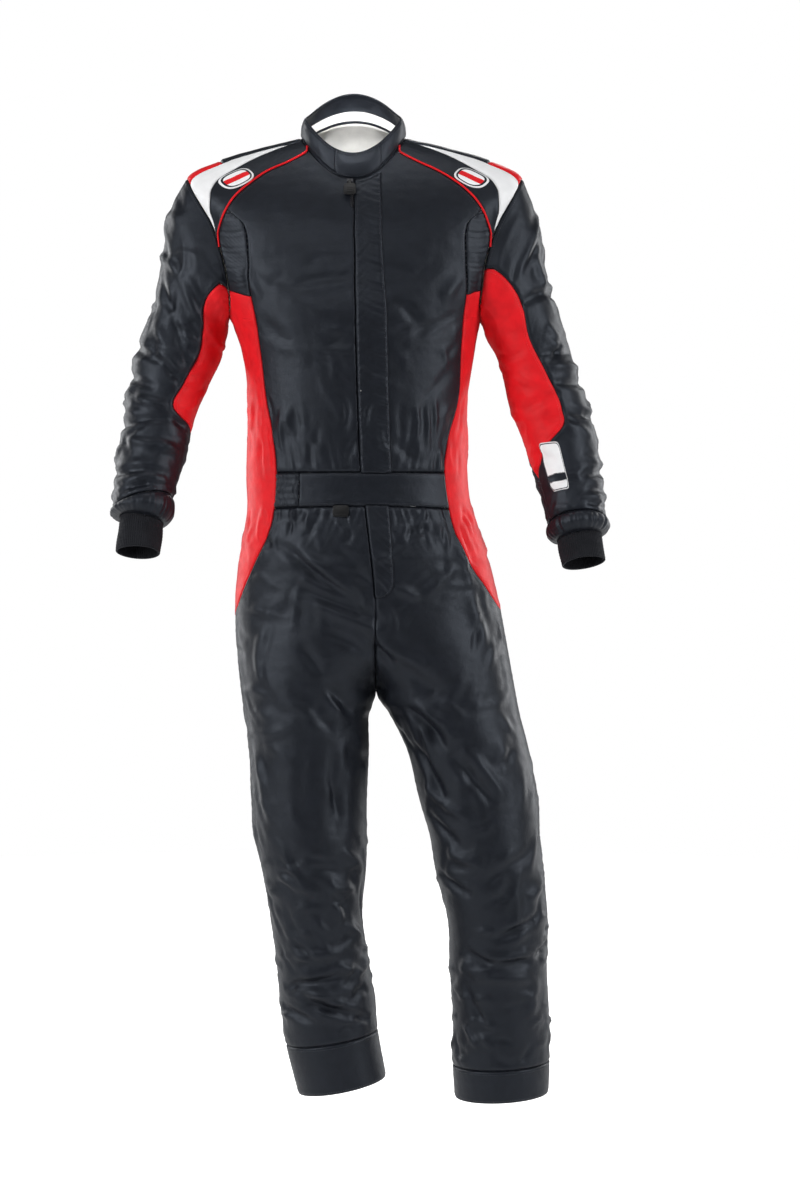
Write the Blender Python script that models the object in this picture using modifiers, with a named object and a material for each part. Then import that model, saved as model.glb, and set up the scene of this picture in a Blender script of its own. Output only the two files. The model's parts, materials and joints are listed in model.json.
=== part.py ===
"""One-piece racing suit, filled out as if worn, with no wearer in it.

Sizes are in millimetres and are turned into metres when a mesh is made.
The front faces -Y, +Z is up, and +X is the wearer's left. The origin is where the wearer's neck
and shoulders hold the suit up: the middle of the neck seam, at the height of the shoulder ridge.

Every panel is a stretch of one of three surfaces:
  body    trunk and legs, one surface for each side, measured by an angle and a level
  sleeve  from the armhole to the wrist, measured by an angle and a level
  collar  from the neck seam to the rim
A level counts the rows of the tables below. An angle is 0 on the outer side line, rises round the
front and falls round the back. Neighbouring panels share the points and the normals of their seam,
so their walls meet in a mitre with only the seam gap between them.
"""

import math

import bpy
import numpy as np

# ---------------------------------------------------------------- driving sizes, in millimetres
MM = 0.001
CLOTH = 2.0  # outer shell and lining quilted together
RAISED_CLOTH = 1.6  # what is sewn on top of a panel
BAND_CLOTH = 3.0  # belt, with an elastic inside
COLLAR_CLOTH = 2.6
KNIT_CLOTH = 1.8
LINING_CLOTH = 1.0
SEAM_GAP = 0.3
LYING_GAP = 0.4  # between a panel and what lies on it
PIPING_RADIUS = 1.5
STEP = 0.01  # how far the surfaces are probed for a normal, in levels
STEP_DEGREES = 0.5
SAME_POINT = 0.005
SHARPEST_CORNER = 0.05
CROTCH_DELAY = 0.5  # how much lower the crotch seam's curve starts behind than in front
ARMHOLE_PULL = 2.5  # levels over which the sleeve takes its rings' shape
FOLD_REACH = 5  # half widths
PATCH_CLOTH = 0.8
PIPING_SHORT = 3.0
GATHER_HEIGHT, GATHER_STEPS = 1.2, 4

RIGHT, LEFT = -1, 1  # the wearer's sides; x has the same sign


def table(columns, *rows):
    """A table with named columns, as {name: array}."""
    return {name: np.array([row[i] for row in rows], float) for i, name in enumerate(columns.split())}


# Levels of the body where something begins or ends.
NECK, SHOULDER_POINT, ARMPIT, BELT_TOP, BELT_BOTTOM = 0.0, 4.0, 8.0, 11.0, 12.0
FLY_BOTTOM, HIP_TIP, CROTCH, HEM_SEAM, HEM = 14.0, 14.5, 16.0, 25.0, 26.0
STRAP_END, WHITE_START, WHITE_END, PIPING_END, GUSSET_TOP = 3.0, 0.5, 5.2, 5.65, 7.15
GUSSET_BACK_TOP = 6.4  # behind, the gusset's fork runs up to a point on the armhole
LINING_END = 2.5

# Trunk: x of the right and left side lines and of the middle, z of the side line and of the middle
# in front and behind, y of the side line, and how far the front and the back reach from it.
TRUNK = table(
    "level right left middle z_side z_front z_back y_side front back square",
    (0, -77, 76, 2, 4, -58, 34, 5, 70, 54, 2.0),  # neck seam
    (1, -112, 115, 2, -4, -84, 8, 6, 88, 80, 2.0),
    (2, -152, 156, 3, -14, -112, -30, 7, 102, 98, 2.0),
    (3, -198, 203, 3, -28, -138, -75, 8, 111, 112, 2.0),
    (4, -248, 251, 4, -54, -165, -125, 9, 116, 119, 2.0),  # shoulder point
    (5, -236, 241, 4, -105, -192, -165, 9, 119, 124, 2.05),
    (6, -225, 229, 4, -156, -219, -200, 8, 122, 126, 2.1),
    (7, -208, 213, 5, -207, -246, -232, 6, 124, 126, 2.15),
    (8, -186, 191, 5, -258, -275, -265, 5, 123, 123, 2.2),  # armpit
    (9, -166, 180, 6, -314, -318, -314, 5, 120, 116, 2.2),
    (10, -158, 170, 8, -386, -388, -386, 4, 116, 106, 2.2),
    (11, -161, 170, 12, -490, -488, -492, 5, 113, 98, 2.2),  # belt, top
    (12, -160, 177, 18, -545, -536, -545, 6, 115, 104, 2.2),  # belt, bottom
    (13, -169, 197, 26, -603, -600, -603, 6, 121, 118, 2.2),
    (14, -178, 215, 33, -673, -672, -673, 7, 117, 128, 2.15),  # fly, bottom
    (15, -177, 228, 33, -740, -738, -735, 6, 110, 128, 2.1),
    (16, -170, 242, 33, -818, -818, -818, 4, 100, 112, 2.0),  # crotch
)
# Legs: the outer and inner side lines, and how far the cloth reaches in front of and behind them.
LEG_COLUMNS = "level outer z_outer inner z_inner y_side front back"
LEG = {
    RIGHT: table(
        LEG_COLUMNS,
        (17, -164, -854, 22, -854, 2, 98, 104),
        (18, -158, -908, 22, -908, 0, 94, 98),
        (19, -154, -981, 19, -981, -4, 88, 88),
        (20, -150, -1036, 19, -1036, -8, 83, 80),
        (21, -138, -1091, 18, -1084, -10, 78, 76),  # knee
        (22, -126, -1164, 12, -1155, -6, 74, 73),
        (23, -117, -1237, 21, -1225, 0, 71, 71),
        (24, -112, -1300, 31, -1284, 5, 69, 69),
        (25, -104, -1357, 35, -1334, 7, 68, 68),  # hem band, top
        (26, -86, -1432, 48, -1406, 8, 66, 66),  # hem
    ),
    LEFT: table(
        LEG_COLUMNS,
        (17, 249, -854, 54, -854, 2, 98, 104),
        (18, 263, -908, 80, -908, 0, 94, 98),
        (19, 277, -981, 98, -981, -4, 88, 88),
        (20, 280, -1036, 114, -1036, -8, 84, 80),
        (21, 285, -1091, 123, -1091, -10, 80, 77),  # knee
        (22, 292, -1164, 141, -1164, -6, 77, 75),
        (23, 291, -1237, 144, -1237, 0, 74, 73),
        (24, 295, -1311, 149, -1311, 5, 72, 72),
        (25, 296, -1381, 149, -1388, 7, 70, 70),  # hem band, top
        (26, 295, -1430, 152, -1438, 8, 68, 68),  # hem
    ),
}
# Sleeves: the outer and inner ends of each ring, seen from the front, the y of its middle, and how
# far it reaches in front of and behind that. The lean lifts the front of a ring, across a forearm
# that reaches forward. Level 0 is the armhole.
SLEEVE_COLUMNS = "level x_outer z_outer x_inner z_inner y_middle front back lean"
SLEEVE = {
    RIGHT: table(
        SLEEVE_COLUMNS,
        (0, -248, -54, -186, -258, 8, 60, 62, 0),
        (1, -273, -101, -190, -270, 9, 68, 68, 0),
        (2, -284, -167, -189, -278, 10, 66, 66, 0),
        (3, -300, -241, -191, -294, 10, 62, 62, 0),
        (4, -320, -295, -199, -324, 8, 59, 59, 0.03),
        (5, -334, -358, -219, -366, 4, 56, 56, 0.1),  # elbow
        (6, -344, -418, -239, -414, -6, 53, 53, 0.2),
        (7, -353, -477, -248, -460, -20, 51, 51, 0.3),
        (8, -357, -527, -263, -507, -38, 48, 48, 0.38),
        (9, -355, -546, -268, -527, -46, 45, 45, 0.42),  # wrist casing, top
    ),
    LEFT: table(
        SLEEVE_COLUMNS,
        (0, 251, -54, 191, -258, 8, 60, 62, 0),
        (1, 274, -115, 193, -272, 9, 68, 68, 0),
        (2, 287, -190, 199, -294, 10, 66, 66, 0),
        (3, 309, -262, 212, -316, 9, 62, 62, 0),
        (4, 329, -328, 223, -350, 6, 59, 59, 0.03),
        (5, 350, -390, 233, -395, 2, 57, 57, 0.1),  # elbow
        (6, 363, -440, 252, -442, -8, 54, 54, 0.2),
        (7, 370, -495, 268, -495, -22, 51, 51, 0.3),
        (8, 373, -538, 283, -544, -38, 47, 47, 0.38),
        (9, 373, -557, 289, -566, -46, 44, 44, 0.42),  # wrist casing, top
    ),
}
# Wrist casing: how far along the arm from its top, how far out of the sleeve's last ring, and how
# far it has closed on to the cuff.
CASING = table(
    "along out closing",
    (0, 0, 0),
    (6, 4, 0),
    (16, 6, 0.1),
    (24, 3, 0.45),
    (26, 0, 1),
)
KNIT_HALF_WIDTH, KNIT_HALF_DEPTH = 32.0, 30.0
KNIT_TOP, KNIT_END = 20.0, {RIGHT: 76.0, LEFT: 66.0}  # along the arm from the top of the casing
MOUTH_GAP = 1.2  # from the cuff to the middle of the casing's closed end

# Rim of the collar: half width, y in front and behind, z at the side, in front and behind.
RIM = {
    "half_width": 73,
    "middle": 0,
    "y_side": -2,
    "front": 60,
    "back": 58,
    "z_side": 35,
    "z_front": -21,
    "z_back": 76,
}
COLLAR_SWELL = 2.5

# Seams that run down the front, as the x of each side at a height, seen from the front.
PIPING_LINE = table(
    "z right left",
    (-153, -201, 205),
    (-126, -195, 199),
    (-104, -186, 190),
    (-82, -171, 174),
    (-64, -150, 153),
    (-45, -122, 122),
    (-34, -97, 98),
    (-18, -68, 68),
)
GUSSET_LINE = table(
    "z right left",
    (-700, -178, 222),
    (-667, -166, 202),
    (-622, -146, 172),
    (-577, -125, 151),
    (-533, -115, 140),
    (-488, -113, 135),
    (-443, -117, 140),
    (-383, -128, 156),
    (-308, -137, 160),
    (-263, -143, 163),
    (-222, -151, 168),
    (-178, -153, 166),
    (-126, -160, 168),
    (-97, -176, 180),
)
WHITE_LINE = table(
    "z right left",
    (-131, -209, 213),
    (-90, -211, 215),
    (-69, -207, 211),
    (-57, -198, 202),
    (-40, -171, 175),
    (-22, -138, 142),
    (-3, -92, 95),
)
# The strap along the shoulder ridge: half its width, and the width of the white stripe beside it.
STRAP_HALF_WIDTH = table("level width", (0, 17), (2, 20), (4, 27))
WHITE_STRIPE = 5.0
FLAP_WIDTH = 40.0  # the flap over the zip, from the middle line
FLY_WIDTH = table("level width", (12, 30), (13, 27), (14, 24))
ARMHOLE_ANGLE = 32.0  # how far round the front and the back the armhole reaches

# Under sleeve: the angles of its front and back edges on each sleeve.
UNDER_SLEEVE = table(
    "level right_front right_back left_front left_back",
    (0, 109, 235, 94, 214),
    (1, 108, 232, 86, 212),
    (2, 109, 230, 82, 210),
    (3, 116, 228, 92, 208),
    (4, 122, 230, 84, 208),
    (5, 117, 232, 76, 206),
    (5.75, 116, 226, 84, 200),
    (6.5, 176, 184, 128, 184),
    (7.25, 180, 180, 160, 165),
)
UNDER_SLEEVE_END = {RIGHT: 6.5, LEFT: 7.25}
WRIST = 9.0  # the sleeve's last level

# Small pieces sewn on: the place of the middle, as an angle and a level, half the stretch of each,
# and the gap that clears the panel's folds.
PATCH = {
    "shoulder_badge_right": (30, 3.0, 6.5, 0.5, 0.5),
    "shoulder_badge_left": (30, 2.95, 6.5, 0.5, 0.6),
    "sleeve_label": (116, 6.98, 17, 0.72, 1.5),
    "belt_tab": (80, 12.16, 4, 0.13, 0.4),
}
SLIDER_PLACE = (86, 0.32)
SLIDER = {"wide": 9, "high": 12, "thick": 2.6, "pin_out": 2.6, "pin": 0.9, "lug": 1.4, "lug_high": 4}
EYE = {"radius": 2.3, "wide": 4, "clear": 0.35}
PULL_TAB = {"wide": 18, "high": 20, "thick": 1.8, "neck": 2.5, "round": 0.6}

# Largest folds: where each begins and ends on its surface, its half width, and how high it stands;
# below zero it is a trough. The back of each limb repeats the folds of the other limb's front.
FOLD_COLUMNS = "side angle_a level_a angle_b level_b width height"
BODY_FOLDS = table(
    FOLD_COLUMNS,
    (RIGHT, 46, 6.03, 50, 7.18, 9, 3),  # chest and waist
    (RIGHT, 44, 7.93, 59, 8.72, 12, -3),
    (RIGHT, 84, 10.83, 90, 10.38, 7, -3),
    (RIGHT, 42, 10.60, 55, 10.03, 10, 3),
    (LEFT, 77, 6.78, 59, 8.25, 9, -2.5),
    (LEFT, 55, 7.10, 46, 6.28, 9, 3),
    (LEFT, 76, 10.50, 59, 10.83, 8, -2.5),
    (RIGHT, 50, 12.88, 86, 14.20, 9, -6),  # right hip and thigh
    (RIGHT, 58, 12.93, 82, 13.83, 9, 4),
    (RIGHT, 56, 13.68, 101, 14.62, 8, -5.5),
    (RIGHT, 55, 13.95, 111, 14.95, 9, 3.5),
    (RIGHT, 77, 14.75, 115, 15.25, 9, -4),
    (RIGHT, 70, 15.05, 96, 15.58, 9, -4.5),
    (RIGHT, 96, 15.58, 140, 16.53, 9, -4.5),
    (RIGHT, 62, 12.08, 53, 12.55, 7, -3),
    (RIGHT, 78, 16.10, 104, 17.43, 12, 3.5),
    (RIGHT, 106, 15.95, 130, 17.28, 9, 3.5),
    (RIGHT, 119, 17.98, 118, 19.93, 13, -4),
    (LEFT, 82, 13.78, 70, 14.00, 8, 4.5),  # left hip and thigh
    (LEFT, 70, 14.00, 44, 13.23, 9, 4.5),
    (LEFT, 74, 12.75, 58, 12.48, 8, -3.5),
    (LEFT, 42, 12.70, 40, 13.85, 11, 5),
    (LEFT, 40, 13.85, 40, 15.15, 12, 5),
    (LEFT, 106, 14.68, 116, 15.45, 8, -5.5),
    (LEFT, 116, 15.45, 90, 16.10, 14, -5),
    (LEFT, 109, 14.95, 92, 15.50, 10, 4),
    (LEFT, 130, 16.43, 108, 17.95, 8, -6.5),
    (LEFT, 108, 17.95, 76, 18.98, 8, -5.5),
    (LEFT, 117, 16.10, 95, 17.70, 9, 5),
    (LEFT, 95, 17.70, 64, 18.88, 9, 4.5),
    (LEFT, 144, 17.70, 124, 19.03, 9, -6),
    (LEFT, 147, 18.62, 101, 19.40, 8, 4.5),
    (LEFT, 154, 19.25, 117, 20.15, 8, -4.5),
    (LEFT, 140, 20.28, 98, 20.65, 8, 4),  # left knee and shin
    (LEFT, 160, 20.93, 114, 21.38, 7, -5),
    (LEFT, 106, 21.18, 40, 20.33, 8, -4.5),
    (LEFT, 51, 21.48, 19, 21.12, 10, 6),
    (LEFT, 99, 22.28, 30, 21.75, 7, -7),
    (LEFT, 137, 22.53, 94, 22.83, 7, -7),
    (LEFT, 90, 22.80, 48, 22.73, 7, -7),
    (LEFT, 48, 22.73, 8, 22.43, 7, -7),
    (LEFT, 116, 22.62, 52, 22.60, 6, 4),
    (LEFT, 127, 23.03, 44, 23.12, 9, 4.5),
    (LEFT, 138, 23.20, 108, 24.25, 8, -4),
    (LEFT, 42, 23.05, 54, 23.98, 11, 4),
    (RIGHT, 124, 20.25, 160, 21.03, 7, 5),  # right knee and shin
    (RIGHT, 87, 20.78, 134, 20.88, 9, -4.5),
    (RIGHT, 102, 21.18, 148, 21.43, 7, 4),
    (RIGHT, 50, 21.00, 95, 21.40, 8, 4),
    (RIGHT, 116, 21.60, 126, 22.03, 7, 5),
    (RIGHT, 126, 22.03, 159, 22.48, 7, 5.5),
    (RIGHT, 56, 22.70, 126, 22.62, 9, 5),
    (RIGHT, 30, 23.38, 123, 23.18, 7, -7),
    (RIGHT, 102, 22.83, 146, 23.25, 8, 5),
    (RIGHT, 22, 23.88, 78, 24.28, 7, -6.5),
    (RIGHT, 64, 23.70, 118, 24.23, 6, -6.5),
    (RIGHT, 118, 24.23, 150, 24.60, 6, -6),
    (RIGHT, 68, 23.48, 136, 24.12, 7, 5),
)
SLEEVE_FOLDS = table(
    FOLD_COLUMNS,
    (RIGHT, -30, 1.10, 44, 1.73, 9, 4),
    (RIGHT, -23, 2.07, 68, 1.97, 7, 4),
    (RIGHT, 68, 1.97, 126, 3.03, 8, 4.5),
    (RIGHT, 26, 2.35, 66, 2.95, 8, -5),
    (RIGHT, 66, 2.95, 98, 3.93, 8, -5),
    (RIGHT, 40, 3.27, 112, 4.90, 9, 5),
    (RIGHT, -16, 4.08, 78, 4.43, 7, -6),
    (RIGHT, 78, 4.43, 114, 4.97, 7, -6),
    (RIGHT, -17, 4.75, 80, 5.15, 7, -6),
    (RIGHT, 5, 5.32, 106, 5.70, 7, 6),
    (RIGHT, -20, 6.12, 118, 6.08, 7, -6),
    (RIGHT, 118, 6.08, 153, 6.33, 6, -5),
    (RIGHT, 40, 6.48, 101, 6.98, 7, 5),
    (RIGHT, -13, 7.23, 150, 7.88, 6, -5.5),
    (RIGHT, -18, 7.68, 157, 8.50, 6, -5),
    (RIGHT, 89, 6.75, 155, 7.27, 8, 4),
    (LEFT, -36, 0.60, 56, 1.38, 8, 4),
    (LEFT, 37, 1.50, 32, 2.45, 9, 5),
    (LEFT, 102, 1.97, -34, 2.72, 8, -5.5),
    (LEFT, -34, 2.72, 6, 3.08, 7, -5),
    (LEFT, 61, 2.93, 39, 3.40, 9, 4.5),
    (LEFT, 92, 3.63, 4, 3.73, 7, -6),
    (LEFT, 82, 3.97, -26, 4.18, 7, 5),
    (LEFT, 82, 4.37, -9, 4.53, 7, -6.5),
    (LEFT, -38, 4.73, 30, 5.37, 8, 5.5),
    (LEFT, 110, 5.63, 72, 5.25, 7, -5.5),
    (LEFT, 72, 5.25, -12, 5.53, 7, -6),
    (LEFT, 142, 5.25, 70, 4.65, 7, -4.5),
    (LEFT, 78, 7.3, -14, 6.83, 7, -5.5),
    (LEFT, -36, 6.18, 3, 6.78, 8, 5),
    (LEFT, 88, 8.1, -36, 7.45, 6, 4),
)
FOLD_STOPS = 7  # points along a fold's path
BACK_SHARE = 0.8  # how high the folds behind stand, against those in front
BACK_DROP = 0.3  # how much lower they lie, in levels

# ---------------------------------------------------------------- lattice
SHOULDER_LEVELS = [0, 0.5, 1, 1.5, 2, 2.5, 3, 3.5]
ARMHOLE_LEVELS = [4, 4.15, 4.6, 5.2, 5.65, 6.4, 7.15, 7.7, 8]
RIB_LEVELS = [8.35, 8.7, 9, 9.5, 10, 10.5]
BELT_LEVELS = [11, 11.5, 12]
HIP_LEVELS = [12.5, 13, 13.5, 14, 14.5, 14.75, 15, 15.25, 15.5, 15.75, 15.9, 16]
THIGH_LEVELS = [16.25, 16.5, 17, 17.5, 18, 18.5, 19, 19.5, 20]
SHIN_LEVELS = [20 + 0.25 * i for i in range(1, 21)]
HEM_LEVELS = [25, 25.5, 26]
SLEEVE_LEVELS = [0, 0.5, 1, 1.5, 2, 2.5] + [3 + 0.25 * i for i in range(25)]
TRUNK_LEVELS = SHOULDER_LEVELS + ARMHOLE_LEVELS + RIB_LEVELS + BELT_LEVELS + HIP_LEVELS
BODY_LEVELS = TRUNK_LEVELS + THIGH_LEVELS + SHIN_LEVELS

STRAP_COLUMNS, WHITE_COLUMNS, YOKE_COLUMNS, GUSSET_COLUMNS = 2, 2, 3, 2
FRONT_COLUMNS, FLAP_COLUMNS, BACK_COLUMNS, ELASTIC_COLUMNS = 4, 2, 6, 2
LEG_FRONT_COLUMNS, FLY_COLUMNS, LEG_BACK_COLUMNS, UNDER_SLEEVE_COLUMNS = 4, 2, 6, 4
COLLAR_ROWS = 2
UNDER_SLEEVE_CORNER = {RIGHT: 6, LEFT: 5}  # the armhole points where its front edges begin
ROD_SIDES = 16


def levels_between(first, last):
    """The body's grid levels from first to last."""
    return [v for v in BODY_LEVELS if first - 1e-9 <= v <= last + 1e-9]


# ---------------------------------------------------------------- curves
def smooth(xs, ys, x):
    """A smooth curve through the points (xs, ys), read at x."""
    x = np.clip(np.asarray(x, float), xs[0], xs[-1])
    slope = np.gradient(ys, xs)
    i = np.clip(np.searchsorted(xs, x) - 1, 0, len(xs) - 2)
    width = xs[i + 1] - xs[i]
    t = (x - xs[i]) / width
    ends = ys[i] * (2 * t**3 - 3 * t**2 + 1) + ys[i + 1] * (3 * t**2 - 2 * t**3)
    slopes = slope[i] * (t**3 - 2 * t**2 + t) + slope[i + 1] * (t**3 - t**2)
    return ends + slopes * width


def ease(t):
    """0 to 1, with no slope at either end."""
    t = np.clip(t, 0, 1)
    return t * t * (3 - 2 * t)


def power(value, exponent):
    """A signed power, which turns a circle into a rounder or squarer one."""
    return np.sign(value) * np.abs(value) ** exponent


def unit(vectors):
    return vectors / np.maximum(np.linalg.norm(vectors, axis=-1, keepdims=True), 1e-12)


# ---------------------------------------------------------------- body
def body_table(side):
    """Trunk and leg of one side as one table: outer line, inner line, depths."""
    trunk, leg = TRUNK, LEG[side]
    outer = trunk["left"] if side == LEFT else trunk["right"]
    joined = {
        "level": (trunk["level"], leg["level"]),
        "outer": (outer, leg["outer"]),
        "inner": (trunk["middle"], leg["inner"]),
        "z_outer": (trunk["z_side"], leg["z_outer"]),
        "z_front": (trunk["z_front"], leg["z_inner"]),
        "z_back": (trunk["z_back"], leg["z_inner"]),
        "y_side": (trunk["y_side"], leg["y_side"]),
        "front": (trunk["front"], leg["front"]),
        "back": (trunk["back"], leg["back"]),
        "square": (trunk["square"], np.full(len(leg["level"]), 2.0)),
    }
    return {name: np.concatenate(parts) for name, parts in joined.items()}


BODY = {side: body_table(side) for side in (RIGHT, LEFT)}


def end_angle(angle, level):
    """How far round the cloth of one side goes: to the middle line, and below the crotch to the inseam."""
    start = np.where(np.asarray(angle) >= 0, FLY_BOTTOM, FLY_BOTTOM + CROTCH_DELAY)
    share = np.clip((level - start) / (CROTCH - start), 0, 1)
    centre = 1 - 0.5 * ease(share)  # where the section is centred, between its outer and inner lines
    square = smooth(TRUNK["level"], TRUNK["square"], level)
    return np.degrees(np.arccos(power(1 - 1 / centre, square / 2)))


def body_base(side, angle, level):
    """Points of the unfolded body surface."""
    angle, level = np.broadcast_arrays(np.asarray(angle, float), np.asarray(level, float))
    row = {name: smooth(BODY[side]["level"], values, level) for name, values in BODY[side].items()}
    front = angle >= 0
    turn, last = np.radians(np.abs(angle)), np.radians(end_angle(angle, level))
    exponent = 2 / row["square"]
    across = (1 - power(np.cos(turn), exponent)) / (1 - power(np.cos(last), exponent))
    reach = np.where(front, -row["front"], row["back"])
    z_inner = np.where(front, row["z_front"], row["z_back"])
    x_inner = np.where(level <= CROTCH, smooth(TRUNK["level"], TRUNK["middle"], level), row["inner"])
    x = row["outer"] + (x_inner - row["outer"]) * across
    y = row["y_side"] + reach * power(np.sin(turn), exponent)
    z = row["z_outer"] + (z_inner - row["z_outer"]) * np.sin(turn / last * math.pi / 2) ** 2
    return np.stack([x, y, z], axis=-1)


def probe(surface, angle, level, side):
    """Unit normals of a surface, pointing out of the suit."""
    along = surface(angle, level + STEP) - surface(angle, level - STEP)
    around = surface(angle + STEP_DEGREES, level) - surface(angle - STEP_DEGREES, level)
    return unit(np.cross(along, around) * -side)


def body_normal(side, angle, level):
    angle, level = np.broadcast_arrays(np.asarray(angle, float), np.asarray(level, float))
    normal = probe(lambda a, v: body_base(side, a, v), angle, level, side)
    on_middle = (np.abs(angle) > end_angle(angle, level) - 0.1) & (level <= CROTCH)
    normal[on_middle, 0] = 0
    normal[on_middle & (level > CROTCH - 1e-6)] = (0, 0, -1)
    return unit(normal)


# ---------------------------------------------------------------- folds
def fold_paths(surface, folds, behind):
    """Each fold as (points of its path, half width, height), with the ones behind it brings."""
    paths = []
    for side, angle_a, level_a, angle_b, level_b, width, height in zip(*folds.values()):
        angles, levels = np.linspace(angle_a, angle_b, FOLD_STOPS), np.linspace(level_a, level_b, FOLD_STOPS)
        paths.append((surface(int(side), angles, levels), width, height))
        paths.append((surface(int(-side), behind(angles), levels + BACK_DROP), width, height * BACK_SHARE))
    return paths


def fold_height(points, paths):
    """How far the folds move each point out of its surface."""
    height = np.zeros(points.shape[:-1])
    for path, width, high in paths:
        reach = FOLD_REACH * width
        near = np.all((points > path.min(axis=0) - reach) & (points < path.max(axis=0) + reach), axis=-1)
        if not near.any():
            continue
        local = points[near][:, None]
        start, step = path[:-1], np.diff(path, axis=0)
        share = np.clip(np.sum((local - start) * step, axis=-1) / np.sum(step * step, axis=-1), 0, 1)
        apart = np.linalg.norm(local - start - share[..., None] * step, axis=-1)
        nearest = apart.argmin(axis=1)
        rows = np.arange(len(nearest))
        along = (nearest + share[rows, nearest]) / len(step)
        across = apart[rows, nearest] / width
        profile = 1.3 * np.exp(-(across**2)) - 0.3 * np.exp(-((across / 2.4) ** 2))
        height[near] += high * profile * np.sin(math.pi * np.clip(along, 0, 1)) ** 0.7
    return height


def body(side, angle, level):
    """(points, normals) of the folded body surface."""
    points, normals = body_base(side, angle, level), body_normal(side, angle, level)
    return points + normals * fold_height(points, BODY_PATHS)[..., None], normals


BODY_PATHS = fold_paths(body_base, BODY_FOLDS, lambda angles: -angles)


# ---------------------------------------------------------------- armhole and sleeve
def armhole_angle(level):
    """How far from the side line the armhole's edge lies, at a level of the body."""
    share = np.clip((np.asarray(level, float) - SHOULDER_POINT) / (ARMPIT - SHOULDER_POINT), 0, 1)
    return ARMHOLE_ANGLE * np.sin(np.arccos(1 - 2 * share)) ** 0.8


def armhole_turn(level):
    """The sleeve's angle, 0 at the shoulder point and 180 at the armpit, for a level of the body."""
    share = (np.asarray(level, float) - SHOULDER_POINT) / (ARMPIT - SHOULDER_POINT)
    return np.degrees(np.arccos(1 - 2 * np.clip(share, 0, 1)))


def armhole_place(turn):
    """(angle, level) on the body of each sleeve angle. Angles above 180 are behind."""
    turn = np.asarray(turn, float) % 360
    level = SHOULDER_POINT + (ARMPIT - SHOULDER_POINT) * (1 - np.cos(np.radians(turn))) / 2
    return np.where(turn <= 180, 1, -1) * armhole_angle(level), level


def sleeve_ring(side, turn, level):
    """Points of the plain rings that the sleeve's table gives."""
    row = {name: smooth(SLEEVE[side]["level"], values, level) for name, values in SLEEVE[side].items()}
    cosine, sine = np.cos(np.radians(turn)), np.sin(np.radians(turn))
    x = (row["x_outer"] * (1 + cosine) + row["x_inner"] * (1 - cosine)) / 2
    z = (row["z_outer"] * (1 + cosine) + row["z_inner"] * (1 - cosine)) / 2
    forward = np.where(sine > 0, row["front"], row["back"]) * sine
    return np.stack([x, row["y_middle"] - forward, z + row["lean"] * forward], axis=-1)


def sleeve_base(side, turn, level):
    """The rings, drawn on to the armhole at their upper end."""
    turn, level = np.broadcast_arrays(np.asarray(turn, float), np.asarray(level, float))
    armhole = body(side, *armhole_place(turn))[0]
    pull = armhole - sleeve_ring(side, turn, np.zeros_like(level))
    return sleeve_ring(side, turn, level) + pull * (1 - ease(level / ARMHOLE_PULL))[..., None]


def sleeve_normal(side, turn, level):
    turn, level = np.broadcast_arrays(np.asarray(turn, float), np.asarray(level, float))
    inside = np.maximum(level, STEP)
    return probe(lambda a, v: sleeve_base(side, a, v), turn, inside, side)


def armhole_normal(side, turn):
    """The mitre between the body and the sleeve."""
    angle, level = armhole_place(turn)
    return unit(body_normal(side, angle, level) + sleeve_normal(side, turn, np.zeros_like(level)))


def sleeve(side, turn, level):
    """(points, normals) of the folded sleeve."""
    turn, level = np.broadcast_arrays(np.asarray(turn, float), np.asarray(level, float))
    points, normals = sleeve_base(side, turn, level), sleeve_normal(side, turn, level)
    height = fold_height(points, SLEEVE_PATHS) * ease(level) * ease((WRIST - level) / 0.5)
    mitre = (level < 1e-6)[..., None]
    return points + normals * height[..., None], np.where(mitre, armhole_normal(side, turn), normals)


SLEEVE_PATHS = fold_paths(sleeve_base, SLEEVE_FOLDS, lambda turns: 360 - turns)


# ---------------------------------------------------------------- collar
def rim_point(side, angle):
    turn = np.radians(np.abs(angle))
    front = np.asarray(angle) >= 0
    x = RIM["middle"] + side * RIM["half_width"] * np.cos(turn)
    y = RIM["y_side"] + np.where(front, -RIM["front"], RIM["back"]) * np.sin(turn)
    z = RIM["z_side"] + (np.where(front, RIM["z_front"], RIM["z_back"]) - RIM["z_side"]) * np.sin(turn) ** 2
    return np.stack([x, y, z], axis=-1)


def collar_base(side, angle, height):
    """From the neck seam, height 0, to the rim, height 1."""
    angle, height = np.broadcast_arrays(np.asarray(angle, float), np.asarray(height, float))
    foot, rim = body_base(side, angle, np.zeros_like(angle)), rim_point(side, angle)
    swell = COLLAR_SWELL * np.sin(np.pi * np.clip(height, 0, 1))[..., None]
    outward = unit((foot + rim) / 2 * np.array([1, 1, 0]))
    return foot + (rim - foot) * height[..., None] + outward * swell


def collar_normal(side, angle, height):
    return -probe(lambda a, v: collar_base(side, a, v), angle, height, side)


def neck_normal(side, angle):
    """The mitre between the body and the collar."""
    foot = np.zeros_like(angle)
    return unit(body_normal(side, angle, foot) + collar_normal(side, angle, foot))


def collar(side, angle, height):
    angle, height = np.broadcast_arrays(np.asarray(angle, float), np.asarray(height, float))
    normals = np.where((height < 1e-6)[..., None], neck_normal(side, angle), collar_normal(side, angle, height))
    return collar_base(side, angle, height), normals


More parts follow.
